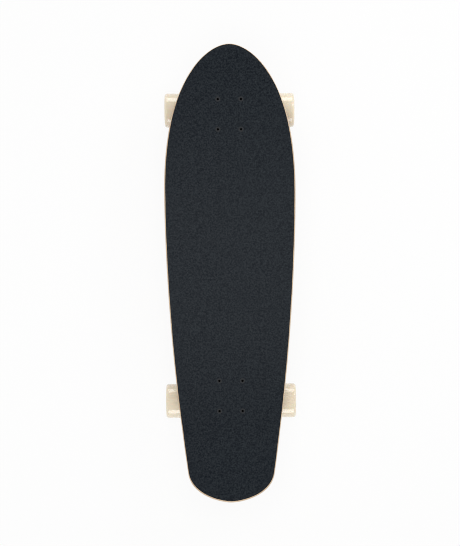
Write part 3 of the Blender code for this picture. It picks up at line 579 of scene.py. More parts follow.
GRIP_THICKNESS = 0.0008
GRIP_LIFT = 0.0003
GRIP_INSET = 0.0005
GRIP_EDGE = 0.0002
CUT_WANDER = 0.00015
SLOW_WAVE = 61
QUICK_WAVE = 143
SIDE_WAVE = 90
PATCHES = {"scale": 330.0, "detail": 5.0}
PATCH_SPAN = (0.37, 0.63)
GRAINS_PER_METRE = 2600.0
GRAIN_BUMP = {"distance": 0.0003, "strength": 0.8}
# painted light: how much lighter the grit is painted about the board's middle, and where that starts to
# fade
GRIT_LIGHT_POOL = 0.07
GRIT_LIGHT_POOL_START = 0.05
GRIT_TONES = ((0.0010, 0.0032, 0.0066, 1), (0.0150, 0.0195, 0.0238, 1))
GRIT_GLINT = (0.3, (0.12, 0.13, 0.145, 1))
GRIT_FINISH = {"Roughness": 0.9, "Specular IOR Level": 0.1}
GRIT_LIGHT_POOL_TONE = (0.10, 0.105, 0.11, 1)


def grit():
    """Charcoal grit: matte grains, mottled in soft patches, with a painted pool of light that makes its
    middle lighter.
    """
    made, tree, inputs, place = surface("grit", GRIT_FINISH)
    patches = stretched(tree, speckle(tree, place, **PATCHES), *PATCH_SPAN)
    tone = mixed(tree, patches, *GRIT_TONES)
    grains = tree.nodes.new("ShaderNodeTexVoronoi")
    grains.inputs["Scale"].default_value = GRAINS_PER_METRE
    tree.links.new(place, grains.inputs["Vector"])
    glints = formula(tree, "POWER", grains.outputs["Color"], 3.0)
    tone = tinted(tree, tone, glints, *GRIT_GLINT)
    # painted light: the grit's tone turns lighter towards the middle and fades out towards nose and tail
    along = formula(tree, "ABSOLUTE", add(tree, "ShaderNodeSeparateXYZ", {0: place}, "Y"))
    sockets = {0: along, 1: GRIT_LIGHT_POOL_START, 2: DECK_LENGTH / 2, 3: GRIT_LIGHT_POOL, 4: 0.0}
    light_pool = add(tree, "ShaderNodeMapRange", sockets, interpolation_type="SMOOTHSTEP")
    tone = mixed(tree, light_pool, tone, GRIT_LIGHT_POOL_TONE)
    tree.links.new(tone, inputs["Base Color"])
    peaks = formula(tree, "SUBTRACT", 1.0, grains.outputs["Distance"])
    roughen(tree, inputs, peaks, **GRAIN_BUMP)
    return made


loop = whole_outline()[0]
slow = np.sin(loop[:, 1] * SLOW_WAVE)
quick = np.sin(loop[:, 1] * QUICK_WAVE + loop[:, 0] * SIDE_WAVE)
cut = EDGE_LEAN + GRIP_INSET + CUT_WANDER * (slow + quick) / 2
grip_low = DECK_THICKNESS / 2 + GRIP_LIFT
grip_top = grip_low + GRIP_THICKNESS
grip_rim = [(cut + GRIP_EDGE, grip_top), (cut, grip_top - GRIP_EDGE), (cut, grip_low)]
grip = carved(blank("grip_blank", grip_rim), *holes)
grip = grown("grip_sheet", grip, PRESS, PRESS_SIZES, grit())
show("grip_sheet", grip, "board", "grip", ["grip_tape"])

# The deck bolts. Each truck hangs on four black flat-head bolts with a hexagon socket. They are
# pulled down into the grip until their heads lie flush, each one stopping at its own turn.

BOLT_HEAD = 0.0096
BOLT_SHANK = 0.0048
BOLT_PITCH = 0.0008
BOLT_THREAD = 0.0150
BOLT_TIP = 0.0006
THREAD_DEPTH = 0.6
THREAD_RUNOUT = 0.0008
THREAD_STEPS = 16
THREAD_SIDES = 4
KEY_WIDTH = 0.0040
KEY_DEPTH = 0.0026
FINE_EDGE = 0.0002
TOOL_RING = 0.00035
TOOL_RING_BUMP = {"distance": 0.000006, "strength": 0.6}
STEEL_CLOUDS = {"scale": 420.0, "detail": 3.0}
STEEL_SHINIER = 0.08
STEEL_DULLER = 0.10
BLACK_OXIDE = ((0.012, 0.014, 0.016, 1), (0.026, 0.029, 0.033, 1))
# painted shade: the colour and shine of the bolts' hexagon sockets, where shadow falls
SOCKET_PAINTED_SHADE = (0.001, 0.001, 0.001, 1)
STEEL_SHINE = 0.5
SOCKET_SHADE_SHINE = 0.05
BOLT_PATTERN = {
    "Wide": abs(middle("front_deck_bolt_2").x - middle("front_deck_bolt_1").x),
    "Long": abs(middle("front_deck_bolt_3").y - middle("front_deck_bolt_2").y),
    "Front": (0.0, (middle("front_deck_bolt_1").y + middle("front_deck_bolt_3").y) / 2, 0.0),
    "Rear": (0.0, (middle("rear_deck_bolt_1").y + middle("rear_deck_bolt_3").y) / 2, 0.0),
    "Height": BOLT_TOP,
    "Seed": 7,
}
THREAD = {"Radius": BOLT_SHANK / 2, "Pitch": BOLT_PITCH, "Length": BOLT_THREAD, "Bottom": 0.0}


def joined(tree, *geometries):
    """Several geometries as one."""
    made = tree.nodes.new("GeometryNodeJoinGeometry")
    for geometry in geometries:
        tree.links.new(geometry, made.inputs[0])
    return made.outputs[0]


def lifted(tree, geometry, height):
    """Geometry moved up by a height."""
    lift = add(tree, "ShaderNodeCombineXYZ", {2: height})
    return add(tree, "GeometryNodeTransform", {0: geometry, "Translation": lift})


def bolt_pattern_tree():
    """Stands a fastener at the four corners of each truck's bolt pattern, turned at random."""
    tree, given = tree_for("bolt_pattern", BOLT_PATTERN)
    sockets = {"Size X": given["Wide"], "Size Y": given["Long"], "Vertices X": 2, "Vertices Y": 2}
    corners = add(tree, "GeometryNodeMeshGrid", sockets)
    trucks = []
    for end in ("Front", "Rear"):
        sockets = {"Geometry": corners, "Translation": given[end]}
        trucks.append(add(tree, "GeometryNodeTransform", sockets))
    sockets = {2: 0.0, 3: math.tau, "Seed": given["Seed"]}
    angle = add(tree, "FunctionNodeRandomValue", sockets, 1, data_type="FLOAT")
    turn = add(tree, "ShaderNodeCombineXYZ", {2: angle})
    sockets = {"Points": joined(tree, *trucks), "Instance": given["Geometry"], "Rotation": turn}
    stood = add(tree, "GeometryNodeInstanceOnPoints", sockets)
    close_tree(tree, given, lifted(tree, stood, given["Height"]))
    return tree


def thread_tree():
    """Winds a thread round a shank, upwards from a height, and joins it to the shank."""
    tree, given = tree_for("thread", THREAD)
    turns = formula(tree, "DIVIDE", given["Length"], given["Pitch"])
    crest = formula(tree, "MULTIPLY", given["Pitch"], 0.5)
    root = formula(tree, "SUBTRACT", given["Radius"], crest)
    sockets = {"Rotations": turns, "Start Radius": root, "End Radius": root, "Height": given["Length"]}
    path = add(tree, "GeometryNodeCurveSpiral", {"Resolution": THREAD_STEPS, **sockets})
    upright = add(tree, "GeometryNodeSetCurveNormal", {0: path}, mode="Z_UP")
    sockets = {"Resolution": THREAD_SIDES, "Radius": crest}
    ridge = add(tree, "GeometryNodeCurvePrimitiveCircle", sockets)
    sockets = {"Curve": upright, "Profile Curve": ridge, "Fill Caps": True}
    wound = add(tree, "GeometryNodeCurveToMesh", sockets)
    wound = lifted(tree, wound, given["Bottom"])
    close_tree(tree, given, joined(tree, given["Geometry"], wound))
    return tree


def turning_run(tree, pitch):
    """Fine rings left by the tool: a wave along a turned piece's rows."""
    chart = add(tree, "ShaderNodeUVMap", uv_map="turning")
    run = add(tree, "ShaderNodeSeparateXYZ", {0: chart}, "Y")
    return formula(tree, "SINE", formula(tree, "MULTIPLY", run, math.tau / pitch))


def clouded(tree, inputs, pattern, tones):
    """Gives a material a colour between two tones, by a pattern."""
    tree.links.new(mixed(tree, pattern, *tones), inputs["Base Color"])


def varied(tree, setting, pattern, low, high):
    """Varies one of a material's settings between two values, by a pattern."""
    tree.links.new(add(tree, "ShaderNodeMapRange", {0: pattern, 3: low, 4: high}), setting)


def plated(name, tones, roughness, metallic=1.0):
    """Plated or blackened steel: a cloudy tone and faint tool rings."""
    settings = {"Roughness": roughness, "Metallic": metallic}
    made, tree, inputs, place = surface(name, settings)
    clouds = speckle(tree, place, **STEEL_CLOUDS)
    clouded(tree, inputs, clouds, tones)
    spread = (roughness - STEEL_SHINIER, roughness + STEEL_DULLER)
    varied(tree, inputs["Roughness"], clouds, *spread)
    roughen(tree, inputs, turning_run(tree, TOOL_RING), **TOOL_RING_BUMP)
    return made


def shade_painted_sockets(made, top, depth):
    """Darkens a steel in the sockets, below the bolts' flat tops: painted shade, near black and dull
    where the recesses fall in shadow.
    """
    tree = made.node_tree
    inputs = tree.nodes["Principled BSDF"].inputs
    place = add(tree, "ShaderNodeTexCoord", output="Object")
    down = formula(tree, "SUBTRACT", top, add(tree, "ShaderNodeSeparateXYZ", {0: place}, "Z"))
    below = stretched(tree, down, FINE_EDGE, 3 * FINE_EDGE)
    above = formula(tree, "LESS_THAN", down, depth + 3 * FINE_EDGE)
    inside = formula(tree, "MULTIPLY", below, above)
    # painted shade: inside the sockets the steel's colour gives way to near black, with little shine and
    # no metal
    steel = inputs["Base Color"].links[0].from_socket
    clouded(tree, inputs, inside, (steel, SOCKET_PAINTED_SHADE))
    varied(tree, inputs["Specular IOR Level"], inside, STEEL_SHINE, SOCKET_SHADE_SHINE)
    varied(tree, inputs["Metallic"], inside, inputs["Metallic"].default_value, 0.0)


def threaded_end(radius, pitch, length, end, tip, inset):
    """Rows of a shank that is cut down for a thread and narrows to its end, at a depth."""
    core = radius - pitch * THREAD_DEPTH
    return [
        (radius, length - end + FINE_EDGE),
        (core, length - end),
        (core, tip - end),
        (core - inset, -end),
        (0, -end),
    ]


def threaded(mesh, radius, pitch, length, bottom, material):
    """A shank with a thread wound on it."""
    sizes = {"Radius": radius, "Pitch": pitch, "Length": length, "Bottom": bottom}
    return grown("threaded", mesh, WINDING, sizes, material)


WINDING = thread_tree()
FASTENING = bolt_pattern_tree()
BLACK_STEEL = plated("black_oxide", BLACK_OXIDE, roughness=0.5, metallic=0.3)
# painted shade: the black steel is painted near black and dull inside the deck bolts' sockets
shade_painted_sockets(BLACK_STEEL, BOLT_TOP, KEY_DEPTH)
bolt_length = BOLT_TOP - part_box("front_deck_bolt_1")[0].z
shank = BOLT_SHANK / 2
head_cone = (BOLT_HEAD - BOLT_SHANK) / 2 / math.tan(BOLT_HEAD_ANGLE)
bolt_rows = [
    (0, -KEY_DEPTH - 2 * FINE_EDGE),
    (KEY_WIDTH, -KEY_DEPTH, KEY_WIDTH),
    (KEY_WIDTH, -FINE_EDGE, KEY_WIDTH),
    (KEY_WIDTH, 0, KEY_WIDTH + FINE_EDGE),
    (BOLT_HEAD / 2 - FINE_EDGE, 0),
    (BOLT_HEAD / 2, -FINE_EDGE),
    (shank, -head_cone),
    *threaded_end(shank, BOLT_PITCH, BOLT_THREAD, bolt_length, BOLT_TIP, BOLT_TIP),
]
thread_low = BOLT_TIP - bolt_length
thread_length = BOLT_THREAD - THREAD_RUNOUT
bolt = turned(bolt_rows, sides=36)
bolt = threaded(bolt, shank, BOLT_PITCH, thread_length, thread_low, BLACK_STEEL)
bolts = grown("deck_bolts", bolt, FASTENING, BOLT_PATTERN, BLACK_STEEL)
show("deck_bolts", bolts, "board", "black_steel", fasteners("bolt"))

# The locknuts under the baseplates. Each is a zinc-plated hexagon with a round crown that is
# rolled over a nylon ring, and the ring grips the bolt's thread.

NUT_WIDTH = 0.0095
NUT_HEIGHT = 0.0056
NUT_FLANK = 0.68
NUT_CHAMFER = 0.062
NUT_FACE = 0.47
NUT_BORE_ROOM = 0.0002
CROWN_WIDTH = 0.90
CROWN_LIP = 0.35
CROWN_MOUTH = 0.80
CROWN_ROUND = 0.3
NYLON_SEAT = 1.6
NYLON_BACK = 1.5
NYLON_FACE = (0.25, 0.15, 0.40)
ZINC_TONES = ((0.50, 0.50, 0.49, 1), (0.70, 0.70, 0.685, 1))
NYLON_TONES = ((0.66, 0.67, 0.66, 1), (0.80, 0.81, 0.80, 1))
NYLON_CLOUDS = 700.0
NYLON_BUMP = {"distance": 0.00004, "strength": 0.5}
NYLON_FINISH = {"Roughness": 0.38, "Subsurface Weight": 0.25, "Subsurface Scale": 0.001}


def locknut(width, height, thread):
    """A locknut whose face is at zero height and whose crown points down, and its nylon ring."""
    corner = width / math.sqrt(3)
    chamfer = width * NUT_CHAMFER
    flank = height * NUT_FLANK
    crown = width * CROWN_WIDTH / 2
    lip = (height - flank) * CROWN_LIP
    mouth = crown * CROWN_MOUTH
    face = width * NUT_FACE
    bore = thread / 2 + NUT_BORE_ROOM
    rows = [
        (bore, 0),
        (face, 0, width),
        ((face + corner) / 2, -chamfer / 2, width),
        (corner, -chamfer, width),
        (corner, -flank + chamfer, width),
        ((face + corner) / 2, -flank + chamfer / 2, width),
        (crown, -flank, width),
        (crown, -height + lip),
        (crown - lip * CROWN_ROUND, -height + lip * CROWN_ROUND),
        (crown - lip, -height),
        (mouth, -height),
        (mouth, -height + lip * NYLON_SEAT),
        (bore, -height + lip * NYLON_SEAT),
    ]
    ring = [
        (mouth, -height + lip * NYLON_BACK),
        (mouth, -height + lip * NYLON_FACE[0]),
        (thread / 2 + 2 * NUT_BORE_ROOM, -height + lip * NYLON_FACE[1]),
        (thread / 2, -height + lip * NYLON_FACE[2]),
        (thread / 2, -height + lip * NYLON_BACK),
    ]
    return turned(rows, sides=72, closed=True), turned(ring, closed=True)


def nylon():
    """White nylon, a little see-through, with a waxy skin."""
    made, tree, inputs, place = surface("nylon", NYLON_FINISH)
    clouds = speckle(tree, place, NYLON_CLOUDS)
    clouded(tree, inputs, clouds, NYLON_TONES)
    roughen(tree, inputs, clouds, **NYLON_BUMP)
    return made


ZINC = plated("zinc_plate", ZINC_TONES, roughness=0.30)
NYLON = nylon()
nut, ring = locknut(NUT_WIDTH, NUT_HEIGHT, BOLT_SHANK)
nut_pattern = {**BOLT_PATTERN, "Height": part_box("front_deck_nut_1")[1].z}
nuts = grown("deck_locknuts", nut, FASTENING, nut_pattern, ZINC)
rings = grown("deck_locknut_rings", ring, FASTENING, nut_pattern, NYLON)
show("deck_locknuts", nuts, "board", "steel", fasteners("nut"))
show("deck_locknut_rings", rings, "board", None, fasteners("nut"))

# The riser pads. A moulded rubber sheet between each truck and the deck keeps road buzz off the
# wood. It has the baseplate's outline, four bolt holes and a window over the kingpin's head.

MOUNT_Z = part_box("front_baseplate")[1].z
HALF_TURN = Matrix.Rotation(math.pi, 4, "Z")
TRUCKS = {
    "front": Matrix.Translation((0, BOLT_PATTERN["Front"][1], MOUNT_Z)),
    "rear": Matrix.Translation((0, BOLT_PATTERN["Rear"][1], MOUNT_Z)) @ HALF_TURN,
}
PLATE_WIDTH = 0.057
PLATE_INBOARD = 0.037
PLATE_OUTBOARD = 0.043
PLATE_CORNER = 0.008
RISER_WINDOW = (0.024, 0.030)
RISER_EDGE = 0.0004
ROUNDED_ANGLE = math.radians(50)
THROUGH_PAD = 0.02
RUBBER_TONES = ((0.012, 0.012, 0.013, 1), (0.028, 0.028, 0.030, 1))
RUBBER_CLOUDS = 120.0
PEBBLE_DETAIL = 3.0
PEBBLE_BUMP = {"distance": 0.00006, "strength": 0.7}


def rounded_rectangle(left, right, low, high, radius, steps=8):
    """Outline points of a rectangle with round corners, anticlockwise."""
    points = []
    for x, y, quarter in ((right, high, 0), (left, high, 1), (left, low, 2), (right, low, 3)):
        centre_x = x - math.copysign(radius, x - (left + right) / 2)
        centre_y = y - math.copysign(radius, y - (low + high) / 2)
        for step in range(steps + 1):
            angle = (quarter + step / steps) * math.pi / 2
            point = (centre_x + radius * math.cos(angle), centre_y + radius * math.sin(angle))
            points.append(point)
    return points


def slab(outline, low, high):
    """A flat outline in XY as a closed plate between two heights."""
    shape = bmesh.new()
    under = [shape.verts.new((x, y, low)) for x, y in outline]
    over = [shape.verts.new((x, y, high)) for x, y in outline]
    shape.faces.new(under)
    shape.faces.new(over)
    for step in range(len(outline)):
        after = (step + 1) % len(outline)
        shape.faces.new((under[step], under[after], over[after], over[step]))
    bmesh.ops.recalc_face_normals(shape, faces=shape.faces)
    return meshed("slab", shape)


def rounded(mesh, width):
    """A mesh with its sharp edges rounded over."""
    made = put("stock", mesh)
    edge = made.modifiers.new("edge", "BEVEL")
    edge.width = width
    edge.segments = 2
    edge.limit_method = "ANGLE"
    edge.angle_limit = ROUNDED_ANGLE
    return applied(made)


def both_trucks(name, mesh, part, slot, node, material, smooth=SMOOTH_ANGLE):
    """Puts a mesh, drawn in a truck's own frame, on the front truck and on the rear one."""
    for end, place in TRUCKS.items():
        body = "board" if part == "board" else f"{end}_{part}"
        show(f"{end}_{name}", placed(mesh, place), body, slot, [f"{end}_{node}"], material, smooth)


def truck_holes():
    """Cutters for the four bolts through a truck's own plate and pad."""
    hole = turned(both_ways([(0, THROUGH_PAD), (BOLT_HOLE / 2, THROUGH_PAD)]), sides=32)
    half_wide = BOLT_PATTERN["Wide"] / 2
    half_long = BOLT_PATTERN["Long"] / 2
    corners = [(x, y, 0) for x in (-half_wide, half_wide) for y in (-half_long, half_long)]
    return [placed(hole, Matrix.Translation(corner)) for corner in corners]


def moulded_black(name, grain, roughness):
    """Black rubber or plastic with a fine pebbled skin."""
    made, tree, inputs, place = surface(name, {"Roughness": roughness})
    pebbles = speckle(tree, place, grain, PEBBLE_DETAIL)
    clouded(tree, inputs, speckle(tree, place, RUBBER_CLOUDS), RUBBER_TONES)
    roughen(tree, inputs, pebbles, **PEBBLE_BUMP)
    return made


plate_outline = rounded_rectangle(
    -PLATE_WIDTH / 2, PLATE_WIDTH / 2, -PLATE_INBOARD, PLATE_OUTBOARD, PLATE_CORNER)
half_wide, half_long = (size / 2 for size in RISER_WINDOW)
window = rounded_rectangle(-half_wide, half_wide, -half_long, half_long, half_wide / 2)
riser_low, riser_high = (corner.z - MOUNT_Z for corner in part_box("front_riser_pad"))
pad = slab(plate_outline, riser_low, riser_high)
pad = carved(pad, slab(window, -THROUGH_PAD, THROUGH_PAD), *truck_holes())
RUBBER = moulded_black("riser_rubber", grain=1500.0, roughness=0.62)
both_trucks("riser", rounded(pad, RISER_EDGE), "board", "riser", "riser_pad", RUBBER)

# The baseplates. Each is an aluminium casting, tumbled bright: a plate with a tilted boss for
# the kingpin, a housing for the pivot cup and two ribs between them. Its seats are machined.

FIT = 0.0003
PLATE_THICKNESS = 0.005
KINGPIN_TILT = math.radians(16)
KINGPIN_SEAT = Vector((0, -0.004, -0.015))
KINGPIN_SHANK = 0.0095
KINGPIN_HEAD = 0.0143
KINGPIN_FLOOR = 0.006
BOSS_RADIUS = 0.0145
BOSS_FLARE = 0.003
BOSS_FLARE_HEIGHT = 0.010
PIVOT_CENTRE = Vector((0, 0.029, -0.012))
PIVOT_SLOPE = math.radians(50)
PIVOT_BALL = 0.0055
CUP_WALL = 0.0024
CUP_RADIUS = PIVOT_BALL + FIT + CUP_WALL
CUP_REACH = 0.0095
HOUSING_WALL = 0.0035
HOUSING_RADIUS = CUP_RADIUS + FIT + HOUSING_WALL
RIB_THICKNESS = 0.005
RIB_SPACING = 0.018
RIB_DEPTH = 0.0135
RIB_INBOARD_DEPTH = 0.0075
RIB_TO_PLATE_EDGE = 0.003
SPARE = 0.003
DRILL = 0.04
MILL_HEIGHT = 0.06
SEAT_CUT_RADIUS = 1.25 * BOSS_RADIUS
CASTING_GRAIN = 0.00052
CASTING_SOFTNESS = 22
ALUMINIUM_TONES = ((0.54, 0.54, 0.535, 1), (0.70, 0.70, 0.69, 1))
ALUMINIUM_FINISH = {"Roughness": 0.4, "Metallic": 1.0}
ALUMINIUM_ROUGHNESS = (0.30, 0.46)
ALUMINIUM_CLOUDS = 85.0
SAND = {"scale": 2400.0, "detail": 2.0}
SAND_BUMP = {"distance": 0.00006, "strength": 0.45}
CUT_ANGLE = math.radians(55)
ON_KINGPIN = Matrix.Translation(KINGPIN_SEAT) @ Matrix.Rotation(-KINGPIN_TILT, 4, "X")
ON_PIVOT = Matrix.Translation(PIVOT_CENTRE) @ Matrix.Rotation(math.pi / 2 + PIVOT_SLOPE, 4, "X")


def rod(radius, top, bottom, width=None):
    """A solid cylinder about Z between two heights, or a hexagon of that width."""
    hexagon = [width] if width else []
    return turned([(0, top), (radius, top, *hexagon), (radius, bottom, *hexagon), (0, bottom)])


def dome(radius, steps=10):
    """Rows of a half-round end about the origin, from its rim down to its pole."""
    angles = [step / steps * math.pi / 2 for step in range(steps)]
    rows = [(radius * math.cos(angle), -radius * math.sin(angle)) for angle in angles]
    return [*rows, (0, -radius)]


def round_ended(radius, mouth):
    """A rod from its flat mouth down to a half-round end about the origin."""
    return turned([(0, mouth), (radius, mouth), *dome(radius)])


def rib(side):
    """A rib under the plate that ties the kingpin's boss to the pivot's housing."""
    outline = [
        (RIB_TO_PLATE_EDGE - PLATE_INBOARD, -PLATE_THICKNESS / 2),
        (KINGPIN_SEAT.y - BOSS_RADIUS, -RIB_INBOARD_DEPTH),
        (KINGPIN_SEAT.y + BOSS_RADIUS, -RIB_DEPTH),
        (PIVOT_CENTRE.y, -RIB_DEPTH),
        (PLATE_OUTBOARD - RIB_TO_PLATE_EDGE, -PLATE_THICKNESS / 2),
    ]
    # Lying in XY, a rib's X runs outboard and its Y runs up once it stands under the plate
    stand = Matrix(((0, 0, 1, side * RIB_SPACING / 2), (1, 0, 0, 0), (0, 1, 0, 0), (0, 0, 0, 1)))
    return placed(slab(outline, -RIB_THICKNESS / 2, RIB_THICKNESS / 2), stand)


def cast(shapes):
    """Overlapping solids fused into one skin and softened, with fillets where they meet."""
    shape = bmesh.new()
    for solid in shapes:
        shape.from_mesh(solid)
    made = put("casting", meshed("casting", shape))
    fuse = made.modifiers.new("fuse", "REMESH")
    fuse.mode = "VOXEL"
    fuse.voxel_size = CASTING_GRAIN
    soften = made.modifiers.new("soften", "SMOOTH")
    soften.factor = 0.5
    soften.iterations = CASTING_SOFTNESS
    return applied(made)


def cast_aluminium():
    """A tumbled casting: bright, softly clouded, with a fine sandy skin."""
    made, tree, inputs, place = surface("cast_aluminium", ALUMINIUM_FINISH)
    clouds = speckle(tree, place, ALUMINIUM_CLOUDS)
    sand = speckle(tree, place, **SAND)
    clouded(tree, inputs, clouds, ALUMINIUM_TONES)
    varied(tree, inputs["Roughness"], clouds, *ALUMINIUM_ROUGHNESS)
    roughen(tree, inputs, sand, **SAND_BUMP)
    return made


CASTING = cast_aluminium()
over = KINGPIN_SEAT.length + BOSS_RADIUS + SPARE
flared = BOSS_RADIUS + BOSS_FLARE
boss_rows = [(0, over), (flared, over), (flared, -KINGPIN_SEAT.z)]
boss_rows += [(BOSS_RADIUS, -KINGPIN_SEAT.z - BOSS_FLARE_HEIGHT), (BOSS_RADIUS, -SPARE), (0, -SPARE)]
shapes = [
    slab(plate_outline, -PLATE_THICKNESS, SPARE),
    placed(turned(boss_rows), ON_KINGPIN),
    placed(round_ended(HOUSING_RADIUS, CUP_REACH + SPARE), ON_PIVOT),
    rib(-1),
    rib(1),
]
wide = 3 * PLATE_WIDTH
above = slab([(-wide, -wide), (wide, -wide), (wide, wide), (-wide, wide)], 0, MILL_HEIGHT)
below_seat = placed(rod(SEAT_CUT_RADIUS, 0, -DRILL / 2), ON_KINGPIN)
below_cup = placed(rod(HOUSING_RADIUS + FIT, CUP_REACH + 2 * SPARE, CUP_REACH), ON_PIVOT)
kingpin_bore = placed(rod(KINGPIN_SHANK / 2 + FIT, DRILL, -DRILL), ON_KINGPIN)
head_pocket = placed(rod(KINGPIN_HEAD, DRILL, KINGPIN_FLOOR, KINGPIN_HEAD + 2 * FIT), ON_KINGPIN)
cup_bore = placed(round_ended(CUP_RADIUS + FIT, 2 * CUP_REACH), ON_PIVOT)
cutters = [above, below_seat, below_cup, kingpin_bore, head_pocket, cup_bore, *truck_holes()]
plate = carved(cast(shapes), *cutters)
both_trucks("casting_plate", plate, "board", "cast_aluminium", "baseplate", CASTING, CUT_ANGLE)

# The pivot cups. A black urethane cup is pushed into each housing, its round floor outboard and
# its mouth flared towards the hanger, whose nose turns in it.

CUP_MOUTH_EDGE = 0.0006
CUP_FLARE = 0.0008
PIVOT_ROOT_RADIUS = 0.010


def pivot_root():
    """How far it is along the pivot from its ball to the middle plane of the hanger's ring."""
    along = ON_PIVOT.to_3x3() @ Vector((0, 0, 1))
    return (RING_CENTRE - PIVOT_CENTRE).dot(KINGPIN_DOWN) / along.dot(KINGPIN_DOWN)


KINGPIN_DOWN = Vector((0, -math.sin(KINGPIN_TILT), -math.cos(KINGPIN_TILT)))
JOINTS = {joint["name"]: joint for joint in frame["joints"]}
RING_CENTRE = TRUCKS["front"].inverted() @ Vector(JOINTS["front_steer"]["pos_m"])
PIVOT_ROOT = pivot_root()
widening = (PIVOT_ROOT_RADIUS - PIVOT_BALL) * (CUP_REACH - PIVOT_BALL) / (PIVOT_ROOT - PIVOT_BALL)
cup_rows = [(CUP_RADIUS - CUP_MOUTH_EDGE, CUP_REACH), (CUP_RADIUS, CUP_REACH - CUP_MOUTH_EDGE)]
cup_rows += dome(CUP_RADIUS)
cup_rows += reversed(dome(PIVOT_BALL + FIT))
cup_rows.append((PIVOT_BALL + widening + CUP_FLARE, CUP_REACH))
cup = placed(turned(cup_rows, closed=True), ON_PIVOT)
CUP_BLACK = moulded_black("cup_urethane", grain=900.0, roughness=0.5)
both_trucks("urethane_cup", cup, "board", "pivot_cup", "pivot_cup", CUP_BLACK)

# The kingpins. Each is a black hexagon-headed bolt, dropped through the baseplate from above.
# It holds the hanger between two urethane bushings, and a locknut sets how hard they squeeze.

KINGPIN_HEAD_HEIGHT = 0.006
KINGPIN_HEAD_CHAMFER = 0.0009
KINGPIN_PITCH = 0.00106
KINGPIN_THREAD = 0.014
KINGPIN_RUNOUT = 0.001
KINGPIN_TIP = 0.0012
TIP_INSET = 0.0008
WASHER = 0.0016
BOARD_BUSHING = 0.014
ROAD_BUSHING = 0.012
RING_WEB = 0.004
KINGPIN_NUT = 0.008
KINGPIN_OVER = 0.002
BOARD_WASHER_S = FIT
BOARD_BUSHING_S = BOARD_WASHER_S + WASHER + FIT
WEB_S = BOARD_BUSHING_S + BOARD_BUSHING + FIT
ROAD_BUSHING_S = WEB_S + RING_WEB + FIT
ROAD_WASHER_S = ROAD_BUSHING_S + ROAD_BUSHING + FIT
KINGPIN_NUT_S = ROAD_WASHER_S + WASHER + FIT
KINGPIN_END_S = KINGPIN_NUT_S + KINGPIN_NUT + KINGPIN_OVER
UPSIDE_DOWN = Matrix.Rotation(math.pi, 4, "X")


def down_kingpin(distance):
    """A place on the kingpin, a distance down from its seat."""
    return ON_KINGPIN @ Matrix.Translation((0, 0, -distance))


shank = KINGPIN_SHANK / 2
head_low = KINGPIN_FLOOR + FIT
head_top = head_low + KINGPIN_HEAD_HEIGHT
head_corner = KINGPIN_HEAD / math.sqrt(3)
kingpin_rows = [
    (0, head_top),
    (NUT_FACE * KINGPIN_HEAD, head_top, KINGPIN_HEAD),
    (head_corner, head_top - KINGPIN_HEAD_CHAMFER, KINGPIN_HEAD),
    (head_corner, head_low, KINGPIN_HEAD),
    (shank, head_low),
    *threaded_end(shank, KINGPIN_PITCH, KINGPIN_THREAD, KINGPIN_END_S, KINGPIN_TIP, TIP_INSET),
]
thread_low = TIP_INSET - KINGPIN_END_S
thread_length = KINGPIN_THREAD - KINGPIN_RUNOUT
kingpin = threaded(turned(kingpin_rows), shank, KINGPIN_PITCH, thread_length, thread_low, BLACK_STEEL)
kingpin = placed(kingpin, ON_KINGPIN)
both_trucks("kingpin_bolt", kingpin, "board", "black_steel", "kingpin", BLACK_STEEL)
nut, ring = locknut(KINGPIN_HEAD, KINGPIN_NUT, KINGPIN_SHANK)
nut_place = down_kingpin(KINGPIN_NUT_S)
both_trucks("kingpin_locknut", placed(nut, nut_place), "board", "steel", "kingpin_nut", ZINC)
both_trucks("kingpin_locknut_ring", placed(ring, nut_place), "board", None, "kingpin_nut", NYLON)

# The cup washers. A stamped and plated steel dish spreads the load at the outer end of each
# bushing, and its lip, turned over the urethane, keeps the bushing in the middle.

BUSHING_RADIUS = 0.01225
BUSHING_TIP_RADIUS = 0.0095
WASHER_LIP = 0.0015
WASHER_WALL = 0.0014
WASHER_BEND = 0.0004


def arc(radius, height, bend, start, end, steps=5):
    """Points of an arc about (radius, height), from one angle in degrees to another."""
    angles = [math.radians(start + (end - start) * step / steps) for step in range(steps + 1)]
    return [(radius + bend * math.cos(angle), height + bend * math.sin(angle)) for angle in angles]


def cup_washer(bushing_radius):
    """A washer whose flat back is at zero height and whose lip points down."""
    seat = bushing_radius + FIT
    outer = seat + WASHER_WALL
    deep = WASHER + WASHER_LIP
    bore = KINGPIN_SHANK / 2 + FIT
    rows = arc(outer - WASHER, -WASHER, WASHER, 90, 0)
    rows += arc(outer - WASHER_WALL / 2, -deep + WASHER_WALL / 2, WASHER_WALL / 2, 0, -180)
    rows += [(seat, -WASHER - WASHER_BEND), (seat - WASHER_BEND, -WASHER), (bore, -WASHER), (bore, 0)]
    return turned(rows, closed=True)


washer = placed(cup_washer(BUSHING_RADIUS), down_kingpin(BOARD_WASHER_S))
both_trucks("upper_cup_washer", washer, "board", "steel", "board_side_washer", ZINC)
washer = placed(cup_washer(BUSHING_TIP_RADIUS), down_kingpin(ROAD_WASHER_S + WASHER) @ UPSIDE_DOWN)
both_trucks("lower_cup_washer", washer, "board", "steel", "road_side_washer", ZINC)

# The bushings. Each truck has a barrel above the hanger's ring and a cone below it, both cast in
# cream urethane. They bulge a little under the nut's load and bend as the truck steers.

BUSHING_EDGE = 0.0015
BUSHING_BULGE = 0.0005
BULGE_STEPS = 12
BUSHING_TONES = ((0.62, 0.50, 0.31, 1), (0.72, 0.60, 0.40, 1))
MOULD_RING = 0.0006
MOULD_RING_BUMP = {"distance": 0.000008, "strength": 0.5}
URETHANE_CLOUDS = {"scale": 45.0, "detail": 3.0}
URETHANE_FINISH = {
    "Subsurface Weight": 0.12,
    "Subsurface Radius": (1.0, 0.6, 0.3),
    "Coat Roughness": 0.06,
}


